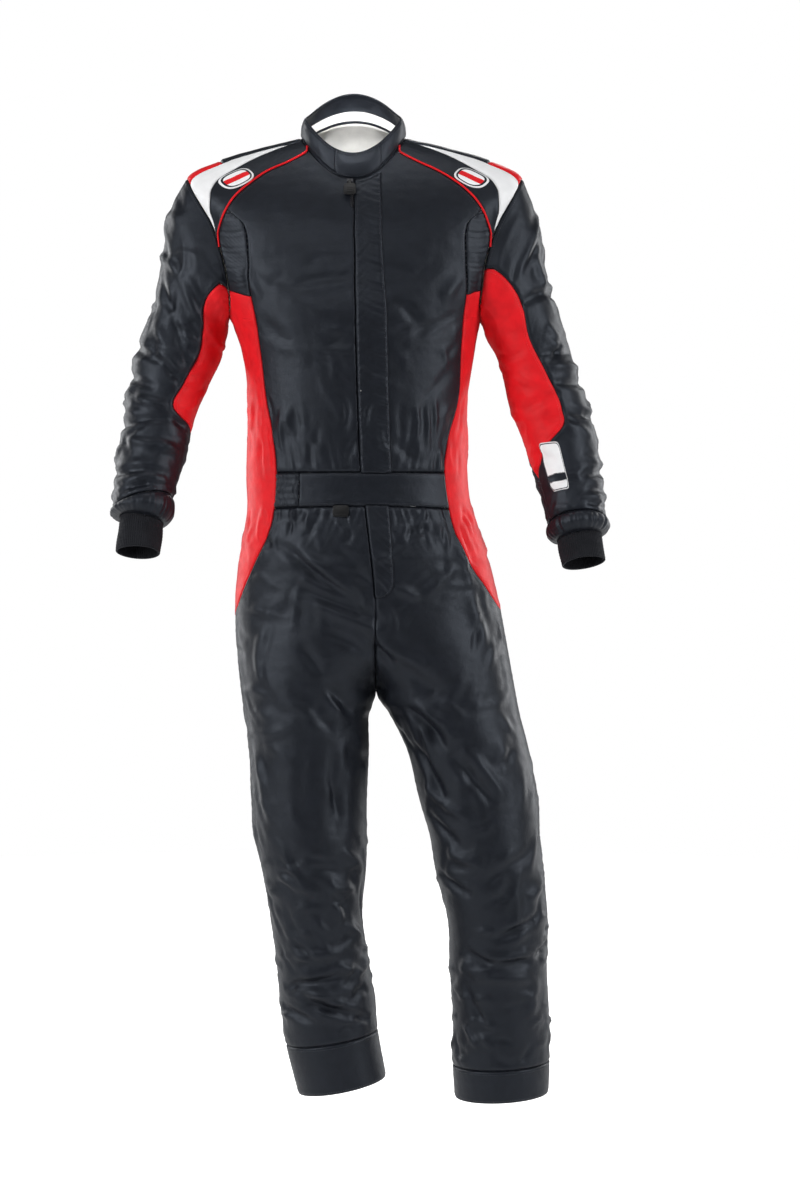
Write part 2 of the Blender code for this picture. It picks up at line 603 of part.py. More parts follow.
# ---------------------------------------------------------------- seam lines on the body
def seam_angle(side, level, line):
    """Where a line given as x at a height crosses a level, in degrees round the front."""
    angles = np.linspace(0, 90, 361)
    points = body_base(side, angles, np.full_like(angles, level))
    x_line = smooth(line["z"], line["left" if side == LEFT else "right"], points[:, 2])
    outside = side * (points[:, 0] - x_line)
    crossing = np.nonzero((outside[:-1] > 0) & (outside[1:] <= 0))[0]
    if len(crossing) == 0:
        return 0.0
    i = crossing[0]
    return float(angles[i] + (angles[i + 1] - angles[i]) * outside[i] / (outside[i] - outside[i + 1]))


def strap_angle(level):
    """Edge of the shoulder strap."""
    if level > SHOULDER_POINT:
        return float(armhole_angle(level))
    width = smooth(STRAP_HALF_WIDTH["level"], STRAP_HALF_WIDTH["width"], level)
    return float(np.degrees(np.arcsin(width / smooth(TRUNK["level"], TRUNK["front"], level))))


def white_angle(side, level):
    """Inner edge of the white panel."""
    if level <= WHITE_START:
        return strap_angle(level)
    if level >= WHITE_END:
        return float(armhole_angle(level))
    stripe = math.degrees(WHITE_STRIPE / smooth(TRUNK["level"], TRUNK["front"], level))
    return max(strap_angle(level) + stripe, seam_angle(side, level, WHITE_LINE))


def piping_angle(side, level):
    return float(armhole_angle(level)) if level >= PIPING_END else seam_angle(side, level, PIPING_LINE)


def front_edge_angle(side, level):
    """Outer edge of the front panel: the piping, then the gathered strip, then the side gusset."""
    if level <= SHOULDER_POINT:
        return piping_angle(side, level)
    if level >= HIP_TIP:
        return 0.0
    return seam_angle(side, level, GUSSET_LINE)


def back_edge_angle(side, level):
    """Outer edge of the back. Below the yoke it mirrors the front of the other side."""
    if level < GUSSET_TOP:
        return -white_angle(side, level)
    return -front_edge_angle(-side, level)


def width_angle(level, width):
    """Where the front is a given width from the middle line."""
    half = smooth(TRUNK["level"], TRUNK["left"] - TRUNK["middle"], level)
    return float(np.degrees(np.arccos(width / half)))


def flap_angle(level):
    """Sewn edge of the flap over the zip."""
    return width_angle(level, FLAP_WIDTH)


def inseam_angle(level):
    return float(end_angle(1.0, level))


def fly_angle(level):
    """Sewn edge of the fly. Below the fly the column runs on down the leg."""
    width = smooth(FLY_WIDTH["level"], FLY_WIDTH["width"], min(level, FLY_BOTTOM))
    here = width_angle(min(level, FLY_BOTTOM), width)
    share = max(level - FLY_BOTTOM, 0) / (HEM_SEAM - FLY_BOTTOM)
    last = inseam_angle(level) * LEG_FRONT_COLUMNS / (LEG_FRONT_COLUMNS + FLY_COLUMNS)
    return here * (1 - share) + last * share


# ---------------------------------------------------------------- grids of points
class Grid:
    """Points and normals of a stretch of a surface, in rows by level and columns by angle."""

    def __init__(self, points, normals, angles, levels):
        self.points, self.normals, self.angles, self.levels = points, normals, angles, levels

    def columns(self, first, last):
        cut = slice(first, last + 1)
        return Grid(self.points[:, cut], self.normals[:, cut], self.angles[:, cut], self.levels[:, cut])

    def rows(self, first, last):
        cut = slice(first, last + 1)
        return Grid(self.points[cut], self.normals[cut], self.angles[cut], self.levels[cut])

    def at(self, row, column):
        """A point and its normal between the grid's own, on the flat of its cell."""
        rows, columns = self.points.shape[:2]
        i, j = min(int(row), rows - 2), min(int(column), columns - 2)
        s, t = row - i, column - j

        def mixed(grid):
            upper = grid[i, j] * (1 - t) + grid[i, j + 1] * t
            lower = grid[i + 1, j] * (1 - t) + grid[i + 1, j + 1] * t
            return upper * (1 - s) + lower * s

        return mixed(self.points), unit(mixed(self.normals)), mixed(self.angles), mixed(self.levels)

    def finer(self, times):
        """The same flats, with each row's step cut into equal ones."""
        rows, columns = self.points.shape[:2]
        stops = [k / times for k in range((rows - 1) * times + 1)]
        cells = [[self.at(row, column) for column in range(columns)] for row in stops]
        return Grid(*(np.array([[cell[k] for cell in line] for line in cells]) for k in range(4)))

    def place(self, angle, level):
        """(row, column) of a place of the surface."""
        row = float(np.interp(level, self.levels[:, 0], range(len(self.levels))))
        i = min(int(row), len(self.levels) - 2)
        angles = self.angles[i] * (1 - row + i) + self.angles[i + 1] * (row - i)
        return row, float(np.interp(angle, angles, range(len(angles))))


def grid_of(surface, side, angles, levels):
    """A grid at given places."""
    angles, levels = np.broadcast_arrays(np.array(angles, float), np.array(levels, float))
    return mitred(side, Grid(*surface(side, angles, levels), angles, levels))


def lattice(side, levels, first, last, columns):
    """A grid of the body between two edges, which are functions of the level."""
    angles = [np.linspace(first(v), last(v), columns + 1) for v in levels]
    return grid_of(body, side, angles, np.array(levels, float)[:, None])


def beside(first, second):
    """Two grids with the same levels, joined along their shared column."""
    return Grid(
        np.concatenate([first.points, second.points[:, 1:]], axis=1),
        np.concatenate([first.normals, second.normals[:, 1:]], axis=1),
        np.concatenate([first.angles, second.angles[:, 1:]], axis=1),
        np.concatenate([first.levels, second.levels[:, 1:]], axis=1),
    )


def neck_angles(side):
    """Every angle where a panel's column meets the neck seam, from the back to the front."""
    strap, piping, flap = strap_angle(NECK), piping_angle(side, NECK), flap_angle(NECK)
    if side == LEFT:
        front = [*np.linspace(piping, flap, FRONT_COLUMNS + 1), *np.linspace(flap, 90, FLAP_COLUMNS + 1)[1:]]
    else:
        front = np.linspace(piping, 90, FRONT_COLUMNS + FLAP_COLUMNS + 1)
    back = np.linspace(-90, -strap, BACK_COLUMNS + 1)
    return [*back, 0.0, *np.linspace(strap, piping, YOKE_COLUMNS + 1)[:-1], *front]


NECK_ANGLES = {side: neck_angles(side) for side in (RIGHT, LEFT)}
ARMHOLE_TURNS = [float(armhole_turn(v)) for v in ARMHOLE_LEVELS]
ARMHOLE_TURNS += [360 - turn for turn in reversed(ARMHOLE_TURNS[1:-1])]


def seam_points(side):
    """Points of the armhole and of the neck seam, each with the normal that both its sides share."""
    turns, angles = np.array(ARMHOLE_TURNS), np.array(NECK_ANGLES[side])
    armhole = body(side, *armhole_place(turns))[0]
    neck = body(side, angles, np.zeros_like(angles))[0]
    normals = np.concatenate([armhole_normal(side, turns), neck_normal(side, angles)])
    return np.concatenate([armhole, neck]), normals


SEAM_POINTS = {side: seam_points(side) for side in (RIGHT, LEFT)}


def mitred(side, grid):
    """The grid, with the shared normals where it meets the armhole or the neck seam."""
    for point, normal in zip(*SEAM_POINTS[side]):
        grid.normals[np.linalg.norm(grid.points - point, axis=-1) < SAME_POINT] = normal
    return grid


# ---------------------------------------------------------------- walls
def looks_out(grid):
    """Whether a grid's cells, taken down and then across, face the way its normals point."""
    down = grid.points[1:, :-1] - grid.points[:-1, :-1]
    across = grid.points[:-1, 1:] - grid.points[:-1, :-1]
    return np.sum(np.cross(down, across) * grid.normals[:-1, :-1]) > 0


def halves(points, ring):
    """A cell as triangles, cut along its shorter diagonal."""
    if len(ring) == 3:
        return [ring]
    a, b, c, d = ring
    if np.linalg.norm(points[a] - points[c]) <= np.linalg.norm(points[b] - points[d]):
        return [[a, b, c], [a, c, d]]
    return [[b, c, d], [b, d, a]]


def weld(grids):
    """One set of points and triangles from grids that share points."""
    points = np.concatenate([grid.points.reshape(-1, 3) for grid in grids])
    normals = np.concatenate([grid.normals.reshape(-1, 3) for grid in grids])
    apart = np.linalg.norm(points[:, None] - points[None], axis=-1)
    first, index = np.unique((apart < SAME_POINT).argmax(axis=1), return_inverse=True)
    points, normals = points[first], unit(normals[first])
    faces, start = [], 0
    for grid in grids:
        rows, columns = grid.points.shape[:2]
        number = index[start : start + rows * columns].reshape(rows, columns)
        start += rows * columns
        order = 1 if looks_out(grid) else -1
        for i in range(rows - 1):
            for j in range(columns - 1):
                ring = [number[i, j], number[i + 1, j], number[i + 1, j + 1], number[i, j + 1]][::order]
                ring = [a for k, a in enumerate(ring) if a != ring[k - 1]]
                if len(ring) > 2:
                    faces += halves(points, ring)
    return points, normals, faces


def edge_links(faces):
    """{point: next point} round the open edges."""
    directed = {(ring[k - 1], ring[k]) for ring in faces for k in range(len(ring))}
    return {a: b for a, b in directed if (b, a) not in directed}


def inset(points, normals, links, distance):
    """The points, with those on an open edge moved into the cloth."""
    before = {b: a for a, b in links.items()}
    moved = points.copy()
    for here, after in links.items():
        arriving = unit(points[here] - points[before[here]])
        leaving = unit(points[after] - points[here])
        inward = unit(np.cross(normals[here], arriving)), unit(np.cross(normals[here], leaving))
        spread = max(1 + inward[0] @ inward[1], SHARPEST_CORNER)
        moved[here] += (inward[0] + inward[1]) * distance / spread
    return moved


def rim_faces(points, links, count):
    """The cut edge, with each cell's diagonal chosen by place, so that the panel beside it has the same."""
    faces = []
    for a, b in links.items():
        if tuple(np.round(points[a], 1)) > tuple(np.round(points[b], 1)):
            faces += [[b, a, b + count], [a, a + count, b + count]]
        else:
            faces += [[b, a, a + count], [b, a + count, b + count]]
    return faces


def mesh_object(name, points, faces, material):
    mesh = bpy.data.meshes.new(name)
    mesh.from_pydata((points * MM).tolist(), [], faces)
    mesh.materials.append(material)
    mesh.shade_smooth()
    mesh.set_sharp_from_angle(angle=math.radians(50))
    made = bpy.data.objects.new(name, mesh)
    PARTS.objects.link(made)
    return made


def wall(name, grids, material, thickness=CLOTH, lift=0.0):
    """A panel of cloth. Its faces are lofted by hand, because Solidify can't give neighbours one mitre."""
    points, normals, faces = weld(grids)
    links = edge_links(faces)
    count = len(points)
    rim = rim_faces(points, links, count)
    points = inset(points, normals, links, SEAM_GAP / 2)
    outer, inner = points + normals * lift, points + normals * (lift - thickness)
    inside = [[a + count for a in reversed(ring)] for ring in faces]
    return mesh_object(name, np.concatenate([outer, inner]), faces + inside + rim, material)


def lying_on(name, grids, material, thickness=RAISED_CLOTH, gap=LYING_GAP):
    """A piece sewn on top of a panel, made from the panel's points moved out."""
    return wall(name, grids, material, thickness, gap + thickness)


def patch(name, grid, material):
    """A small flat piece sewn on a panel round one place of it, over the panel's own cells."""
    angle, level, half_angle, half_level, gap = PATCH[name]
    rows = [grid.place(angle, end)[0] for end in (level - half_level, level + half_level)]
    columns = sorted(grid.place(end, level)[1] for end in (angle - half_angle, angle + half_angle))

    def stops(start, end):
        inside = range(math.floor(start + 0.1) + 1, math.ceil(end - 0.1))
        return [start, *inside, end]

    cells = [[grid.at(row, column) for column in stops(*columns)] for row in stops(*rows)]
    made = Grid(*(np.array([[cell[k] for cell in line] for line in cells]) for k in range(4)))
    return lying_on(name, [made], material, PATCH_CLOTH, gap)


# ---------------------------------------------------------------- materials
def material(name, color, roughness, metallic=0.0):
    made = bpy.data.materials.new(name)
    made.use_nodes = True
    shader = made.node_tree.nodes["Principled BSDF"]
    shader.inputs["Base Color"].default_value = (*color, 1)
    shader.inputs["Roughness"].default_value = roughness
    shader.inputs["Metallic"].default_value = metallic
    made.diffuse_color = (*color, 1)
    return made


def side_name(name, side):
    return f"{name}_{'left' if side == LEFT else 'right'}"


# ---------------------------------------------------------------- pieces of the trunk
def shoulder_pieces(side, cloth):
    """Strap along the ridge, its red end, the white panels, the yoke, the piping and the badge."""

    def back_strap(v):
        return -strap_angle(v)

    def white_edge(v):
        return white_angle(side, v)

    def piping_edge(v):
        return piping_angle(side, v)

    strap = lattice(side, levels_between(NECK, STRAP_END), back_strap, strap_angle, STRAP_COLUMNS)
    wall(side_name("shoulder_strap", side), [strap], cloth["black"])

    tip = lattice(side, levels_between(STRAP_END, SHOULDER_POINT), back_strap, strap_angle, STRAP_COLUMNS)
    low = ARMHOLE_LEVELS[1]
    corner, low_corner = strap_angle(SHOULDER_POINT), strap_angle(low)
    corners = [[-corner, 0, corner], [-low_corner, 0, low_corner]]
    end = grid_of(body, side, corners, [[SHOULDER_POINT] * 3, [low, SHOULDER_POINT, low]])
    wall(side_name("strap_end", side), [tip, end], cloth["red"])

    white_levels = levels_between(WHITE_START, WHITE_END)
    white = lattice(side, white_levels, strap_angle, white_edge, WHITE_COLUMNS)
    wall(side_name("white_panel_front", side), [white], cloth["white"])
    white = lattice(side, white_levels, back_strap, lambda v: -white_edge(v), WHITE_COLUMNS)
    wall(side_name("white_panel_back", side), [white], cloth["white"])

    yoke = lattice(side, levels_between(NECK, PIPING_END), white_edge, piping_edge, YOKE_COLUMNS)
    wall(side_name("yoke", side), [yoke], cloth["black"])
    patch(side_name("shoulder_badge", side), yoke, cloth["white"])


def piping(side, cloth):
    """The cord sewn along the yoke's seam."""
    levels = np.array(levels_between(NECK, PIPING_END))
    angles = np.array([piping_angle(side, v) for v in levels])
    points, normals = body(side, angles, levels)
    points = points + normals * (PIPING_RADIUS + LYING_GAP)
    points[0] += unit(points[1] - points[0]) * PIPING_SHORT
    points[-1] -= unit(points[-1] - points[-2]) * PIPING_SHORT
    name = side_name("piping", side)
    curve = bpy.data.curves.new(name, "CURVE")
    curve.dimensions = "3D"
    curve.bevel_depth, curve.bevel_resolution, curve.use_fill_caps = PIPING_RADIUS * MM, 1, True
    spline = curve.splines.new("POLY")
    spline.points.add(len(points) - 1)
    for knot, point in zip(spline.points, points):
        knot.co = (*(point * MM), 1)
    curve.materials.append(cloth["red"])
    PARTS.objects.link(bpy.data.objects.new(name, curve))


def waved(grid, height, across):
    """Gathers: a finer grid whose inner points stand up and sink in turn, with its edges left flat."""
    fine = grid.finer(GATHER_STEPS)
    rows, columns = fine.points.shape[:2]
    wave = np.where(np.arange(rows) % 2 == 1, height, -height * 0.5)[:, None]
    inner = np.zeros((rows, columns))
    inner[1:-1, across] = 1
    fine.points = fine.points + fine.normals * (wave * inner)[..., None]
    return fine


def front_pieces(cloth):
    """Both fronts, the gathered strips at the armholes, and the flap over the zip."""
    levels = levels_between(NECK, BELT_TOP)
    for side in (RIGHT, LEFT):

        def edge(v, side=side):
            return front_edge_angle(side, v)

        def piping_edge(v, side=side):
            return piping_angle(side, v)

        if side == RIGHT:
            front = lattice(side, levels, edge, inseam_angle, FRONT_COLUMNS + FLAP_COLUMNS)
        else:
            outer = lattice(side, levels, edge, flap_angle, FRONT_COLUMNS)
            front = beside(outer, lattice(side, levels, flap_angle, inseam_angle, FLAP_COLUMNS))
            under = front.columns(FRONT_COLUMNS, FRONT_COLUMNS + FLAP_COLUMNS).rows(1, len(levels) - 1)
            lying_on("zip_flap", [under], cloth["black"])
        wall(side_name("front", side), [front], cloth["black"])

        strip = lattice(side, levels_between(SHOULDER_POINT, GUSSET_TOP), piping_edge, edge, GUSSET_COLUMNS)
        gathered = waved(strip, GATHER_HEIGHT, slice(1, -1))
        wall(side_name("armhole_strip", side), [gathered], cloth["black"])


def back_half(side, levels):
    return lattice(side, levels, lambda v: back_edge_angle(side, v), lambda v: -inseam_angle(v), BACK_COLUMNS)


def back_pieces(cloth):
    """The back, and the pale lining that shows through the neck."""
    wall("back", [back_half(side, levels_between(NECK, BELT_TOP)) for side in (RIGHT, LEFT)], cloth["black"])
    shown = [back_half(side, levels_between(NECK, LINING_END)) for side in (RIGHT, LEFT)]
    wall("neck_lining", shown, cloth["lining"], LINING_CLOTH, -(CLOTH + LYING_GAP))


def gusset(side, cloth):
    """The red side panel, which forks round the armhole and ends in a point on the hip."""
    grids = []
    for edge, sign, top in ((front_edge_angle, 1, GUSSET_TOP), (back_edge_angle, -1, GUSSET_BACK_TOP)):

        def seam(v, edge=edge):
            return edge(side, v)

        def armhole_edge(v, sign=sign):
            return sign * float(armhole_angle(v))

        grids.append(lattice(side, levels_between(ARMPIT, HIP_TIP), lambda v: 0.0, seam, GUSSET_COLUMNS))
        grids.append(lattice(side, levels_between(top, ARMPIT), armhole_edge, seam, GUSSET_COLUMNS))
    wall(side_name("side_gusset", side), grids, cloth["red"])


def belt_pieces(cloth):
    """A band across the front with gathered elastic at its right end, and gathered elastic behind."""
    levels = levels_between(BELT_TOP, BELT_BOTTOM)
    columns = FRONT_COLUMNS + FLAP_COLUMNS
    right = lattice(RIGHT, levels, lambda v: front_edge_angle(RIGHT, v), inseam_angle, columns)
    left = beside(
        lattice(LEFT, levels, lambda v: front_edge_angle(LEFT, v), flap_angle, FRONT_COLUMNS),
        lattice(LEFT, levels, flap_angle, inseam_angle, FLAP_COLUMNS),
    )
    lift = BAND_CLOTH / 2
    gathered = waved(right.columns(0, ELASTIC_COLUMNS), GATHER_HEIGHT, slice(0, None))
    wall("belt_elastic_front", [gathered], cloth["black"], BAND_CLOTH, lift)
    band = right.columns(ELASTIC_COLUMNS, columns)
    wall("belt_front", [band, left], cloth["black"], BAND_CLOTH, lift)
    backs = [waved(back_half(side, levels), GATHER_HEIGHT, slice(0, None)) for side in (RIGHT, LEFT)]
    wall("belt_elastic_back", backs, cloth["black"], BAND_CLOTH, lift)


# ---------------------------------------------------------------- pieces of the legs
def leg_pieces(side, cloth):
    """Front and back of the leg, the fly, the hanging belt tab and the hem band."""
    levels = levels_between(BELT_BOTTOM, HEM_SEAM)
    front_columns = LEG_FRONT_COLUMNS + FLY_COLUMNS

    def edge(v):
        return front_edge_angle(side, v)

    def back_inseam(v):
        return -float(end_angle(-1.0, v))

    if side == LEFT:
        outer = lattice(side, levels, edge, fly_angle, LEG_FRONT_COLUMNS)
        front = beside(outer, lattice(side, levels, fly_angle, inseam_angle, FLY_COLUMNS))
        fly = front.columns(LEG_FRONT_COLUMNS, front_columns).rows(0, levels.index(FLY_BOTTOM))
        lying_on("fly", [fly], cloth["black"])
    else:
        front = lattice(side, levels, edge, inseam_angle, front_columns)
        patch("belt_tab", front, cloth["rubber"])
    wall(side_name("leg_front", side), [front], cloth["black"])
    back = lattice(side, levels, lambda v: back_edge_angle(side, v), back_inseam, LEG_BACK_COLUMNS)
    wall(side_name("leg_back", side), [back], cloth["black"])

    hem_front = lattice(side, HEM_LEVELS, lambda v: 0.0, lambda v: 180.0, front_columns)
    hem_back = lattice(side, HEM_LEVELS, lambda v: 0.0, lambda v: -180.0, LEG_BACK_COLUMNS)
    wall(side_name("hem_band", side), [hem_front, hem_back], cloth["black"])


# ---------------------------------------------------------------- pieces of the sleeves
def under_sleeve_edges(side, level):
    """Angles of the under sleeve's front and back edges."""
    name = "left" if side == LEFT else "right"
    if level < 1e-6:
        corner = UNDER_SLEEVE_CORNER[side]
        return ARMHOLE_TURNS[corner], ARMHOLE_TURNS[corner + UNDER_SLEEVE_COLUMNS]
    levels = UNDER_SLEEVE["level"]
    front, back = (smooth(levels, UNDER_SLEEVE[f"{name}_{edge}"], level) for edge in ("front", "back"))
    if level >= UNDER_SLEEVE_END[side] - 1e-9:
        front = back = (front + back) / 2
    return float(front), float(back)


def spread(stops, first, last):
    """Angles spaced as the stops are, between two edges."""
    stops = np.array(stops)
    return first + (stops - stops[0]) / (stops[-1] - stops[0]) * (last - first)


def sleeve_stops(side):
    """The armhole's angles along the under sleeve and along the top sleeve."""
    corner = UNDER_SLEEVE_CORNER[side]
    under = ARMHOLE_TURNS[corner : corner + UNDER_SLEEVE_COLUMNS + 1]
    top = [turn - 360 for turn in ARMHOLE_TURNS[corner + UNDER_SLEEVE_COLUMNS :]] + ARMHOLE_TURNS[: corner + 1]
    return under, top


def sleeve_pieces(side, cloth):
    """Top sleeve and under sleeve, and on the left one a plain white label."""
    under_stops, top_stops = sleeve_stops(side)
    edges = [under_sleeve_edges(side, v) for v in SLEEVE_LEVELS]
    levels = [v for v in SLEEVE_LEVELS if v <= UNDER_SLEEVE_END[side] + 1e-9]
    under = [spread(under_stops, *edges[i]) for i in range(len(levels))]
    under = grid_of(sleeve, side, under, np.array(levels)[:, None])
    wall(side_name("under_sleeve", side), [under], cloth["red"])

    top = [spread(top_stops, back - 360, front) for front, back in edges]
    top = grid_of(sleeve, side, top, np.array(SLEEVE_LEVELS)[:, None])
    if side == LEFT:
        patch("sleeve_label", top, cloth["white"])
    closed = np.array([abs(back - front) < 1e-6 for front, back in edges])
    top.points[closed, 0] += unit(top.points[closed, 1] - top.points[closed, 0]) * SAME_POINT * 2
    top.points[closed, -1] += unit(top.points[closed, -2] - top.points[closed, -1]) * SAME_POINT * 2
    wall(side_name("top_sleeve", side), [top], cloth["black"])


def arm_axes(side):
    """Middle of the sleeve's last ring, and the directions along the arm, across it and to its front."""
    ring = sleeve_ring(side, np.array([0.0, 90, 180, 270]), np.full(4, WRIST))
    middle = ring.mean(axis=0)
    above = sleeve_ring(side, np.array([0.0, 180]), np.full(2, WRIST - 1)).mean(axis=0)
    along = unit(middle - above)
    across = unit((ring[0] - ring[2]) - (ring[0] - ring[2]) @ along * along)
    forward = unit(ring[1] - ring[3] - (ring[1] - ring[3]) @ along * along)
    return middle, along, across, forward


def wrist_pieces(side, cloth):
    """The casing at the sleeve's end, rolled in over the knitted cuff."""
    front, back = under_sleeve_edges(side, WRIST)
    turns = spread(sleeve_stops(side)[1], back - 360, front)
    levels = np.full(len(turns), WRIST)
    ring, ring_normals = sleeve(side, turns, levels)
    middle, along, across, forward = arm_axes(side)
    knit = across * KNIT_HALF_WIDTH * np.cos(np.radians(turns))[:, None]
    knit = knit + forward * KNIT_HALF_DEPTH * np.sin(np.radians(turns))[:, None]
    slant = ((ring - middle) @ along)[:, None] * along
    outward = unit(ring - middle - slant)
    ring_reach = np.linalg.norm(ring - middle - slant, axis=1)
    mouth = np.linalg.norm(knit, axis=1) + MOUTH_GAP
    rows, normals = [], []
    for distance, out, closing in zip(*CASING.values()):
        reach = (ring_reach + out) * (1 - closing) + mouth * closing
        rows.append(middle + along * distance + slant * (1 - distance / KNIT_TOP) + outward * reach[:, None])
        normals.append(unit(outward * (1 - closing) + ring_normals * 0.3 + along * 1.5 * closing))
    normals[0] = ring_normals
    angles = np.broadcast_to(turns, (len(rows), len(turns)))
    casing = Grid(np.array(rows), np.array(normals), angles, angles)
    wall(side_name("wrist_casing", side), [casing], cloth["black"])

    rows = [middle + along * distance + knit for distance in np.linspace(KNIT_TOP, KNIT_END[side], 4)]
    cuff = Grid(np.array(rows), np.array([unit(knit)] * 4), angles[:4], angles[:4])
    wall(side_name("knit_cuff", side), [cuff], cloth["knit"], KNIT_CLOTH)


# ---------------------------------------------------------------- collar
def collar_pieces(cloth):
    heights = np.linspace(0, 1, COLLAR_ROWS + 1)[:, None]
    rows = COLLAR_ROWS + 1
    right, left = (grid_of(collar, side, [NECK_ANGLES[side]] * rows, heights) for side in (RIGHT, LEFT))
    wall("collar", [right, left], cloth["black"], COLLAR_CLOTH)
    last = right.points.shape[1] - 1
    flap = [right.columns(last - FLAP_COLUMNS, last), left.columns(last - FLAP_COLUMNS, last)]
    lying_on("collar_flap", flap, cloth["black"])


# ---------------------------------------------------------------- zip slider and its pull tab
def box(name, size, place, collection):
    """A box of a size, in millimetres, about a place, as an object of its own."""
    bpy.ops.mesh.primitive_cube_add(size=1, location=tuple(np.array(place) * MM))
    made = bpy.context.object
    made.name = made.data.name = name
    made.scale = tuple(np.array(size) * MM)
    bpy.ops.object.transform_apply(location=False, rotation=False, scale=True)
    for other in list(made.users_collection):
        other.objects.unlink(made)
    collection.objects.link(made)
    return made


def rod(name, radius, length, place, collection):
    """A rod along X."""
    bpy.ops.mesh.primitive_cylinder_add(
        vertices=ROD_SIDES,
        radius=radius * MM,
        depth=length * MM,
        location=tuple(np.array(place) * MM),
        rotation=(0, math.pi / 2, 0),
    )
    made = bpy.context.object
    made.name = made.data.name = name
    bpy.ops.object.transform_apply(location=False, rotation=True, scale=False)
    for other in list(made.users_collection):
        other.objects.unlink(made)
    collection.objects.link(made)
    return made


def joined(main, tool, operation="UNION"):
    """A Boolean modifier on the main object, which keeps the tool as a hidden cutter."""
    modifier = main.modifiers.new(tool.name, "BOOLEAN")
    modifier.operation, modifier.object, modifier.solver = operation, tool, "EXACT"
    tool.hide_render = True


def zip_pieces(cloth):
    """The slider at the top of the zip, and the tab that swings on its pin."""
    points, normals = body(RIGHT, np.array([SLIDER_PLACE[0]]), np.array([SLIDER_PLACE[1]]))
    lean = math.atan2(normals[0, 2], -normals[0, 1])
    seat = points[0] + normals[0] * (LYING_GAP + SLIDER["thick"] / 2)
    frame = bpy.data.objects.new("zip_frame", None)
    frame.location = tuple(seat * MM)
    frame.rotation_euler = (-lean, 0, 0)
    PARTS.objects.link(frame)

    out = -(SLIDER["thick"] / 2 + SLIDER["pin_out"])
    slider = box("zip_slider", (SLIDER["wide"], SLIDER["thick"], SLIDER["high"]), (0, 0, 0), PARTS)
    slider.data.materials.append(cloth["metal"])
    lug_x = (EYE["wide"] + SLIDER["lug"]) / 2 + EYE["clear"]
    for sign in (-1, 1):
        depth = SLIDER["pin_out"] + SLIDER["pin"] + SLIDER["lug"]
        size, place = (SLIDER["lug"], depth, SLIDER["lug_high"]), (sign * lug_x, -depth / 2, 0)
        lug = box(f"cut_lug_{sign}", size, place, CUTTERS)
        joined(slider, lug)
        lug.parent = frame
    pin = rod("cut_pin", SLIDER["pin"], 2 * lug_x, (0, out, 0), CUTTERS)
    joined(slider, pin)
    slider.parent = pin.parent = frame

    eye = rod("zip_pull_tab", EYE["radius"], EYE["wide"], (0, 0, 0), PARTS)
    eye.data.materials.append(cloth["rubber"])
    hole = rod("cut_eye", SLIDER["pin"] + EYE["clear"], EYE["wide"] * 2, (0, 0, 0), CUTTERS)
    drop = EYE["radius"] + PULL_TAB["neck"]
    neck = box("cut_neck", (EYE["wide"], PULL_TAB["thick"], drop), (0, 0, -drop / 2 - EYE["clear"]), CUTTERS)
    high = PULL_TAB["high"]
    plate = box("cut_plate", (PULL_TAB["wide"], PULL_TAB["thick"], high), (0, 0, -drop - high / 2), CUTTERS)
    bevel = plate.modifiers.new("round", "BEVEL")
    bevel.width, bevel.segments = PULL_TAB["round"] * MM, 2
    joined(eye, neck)
    joined(eye, hole, "DIFFERENCE")
    joined(eye, plate)
    eye.location = (0, out * MM, 0)
    for piece in (hole, neck, plate):
        piece.location += eye.location
    for piece in (eye, hole, neck, plate):
        piece.parent = frame


# ---------------------------------------------------------------- the suit
def clear_scene():
    for obj in list(bpy.data.objects):
        bpy.data.objects.remove(obj)


def main():
    cloth = {
        "black": material("black_cloth", (0.018, 0.019, 0.024), 0.55),
        "red": material("red_cloth", (0.62, 0.012, 0.02), 0.6),
        "white": material("white_cloth", (0.8, 0.8, 0.82), 0.6),
        "lining": material("lining_cloth", (0.72, 0.71, 0.69), 0.8),
        "knit": material("knit", (0.01, 0.01, 0.011), 0.85),
        "rubber": material("rubber", (0.012, 0.012, 0.013), 0.5),
        "metal": material("black_metal", (0.03, 0.03, 0.032), 0.35, 0.8),
    }
    for side in (RIGHT, LEFT):
        shoulder_pieces(side, cloth)
        piping(side, cloth)
        gusset(side, cloth)
        leg_pieces(side, cloth)
        sleeve_pieces(side, cloth)
        wrist_pieces(side, cloth)
    front_pieces(cloth)
    back_pieces(cloth)
    belt_pieces(cloth)
    collar_pieces(cloth)
    zip_pieces(cloth)


clear_scene()
PARTS = bpy.data.collections.new("racing_suit")
CUTTERS = bpy.data.collections.new("cutters")
for collection in (PARTS, CUTTERS):
    bpy.context.scene.collection.children.link(collection)
main()
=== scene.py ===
"""Looks of a one-piece racing suit: its cloth with folds, seams and stitching, knitted cuffs and zip.

Sizes are in millimetres, in the model's own frame, and are turned into metres when a mesh is made.
The front faces -Y, +Z is up, and +X is the wearer's left. Every cloth piece is a stretch of one of
three surfaces, as in the solids that it replaces:
  body    trunk and legs, one surface for each side, measured by an angle and a level
  sleeve  from the armhole to the wrist, measured by an angle and a level
  collar  from the neck seam to the rim
A level counts the rows of the tables below. An angle is 0 on the outer side line, rises round the
front and falls round the back.
"""

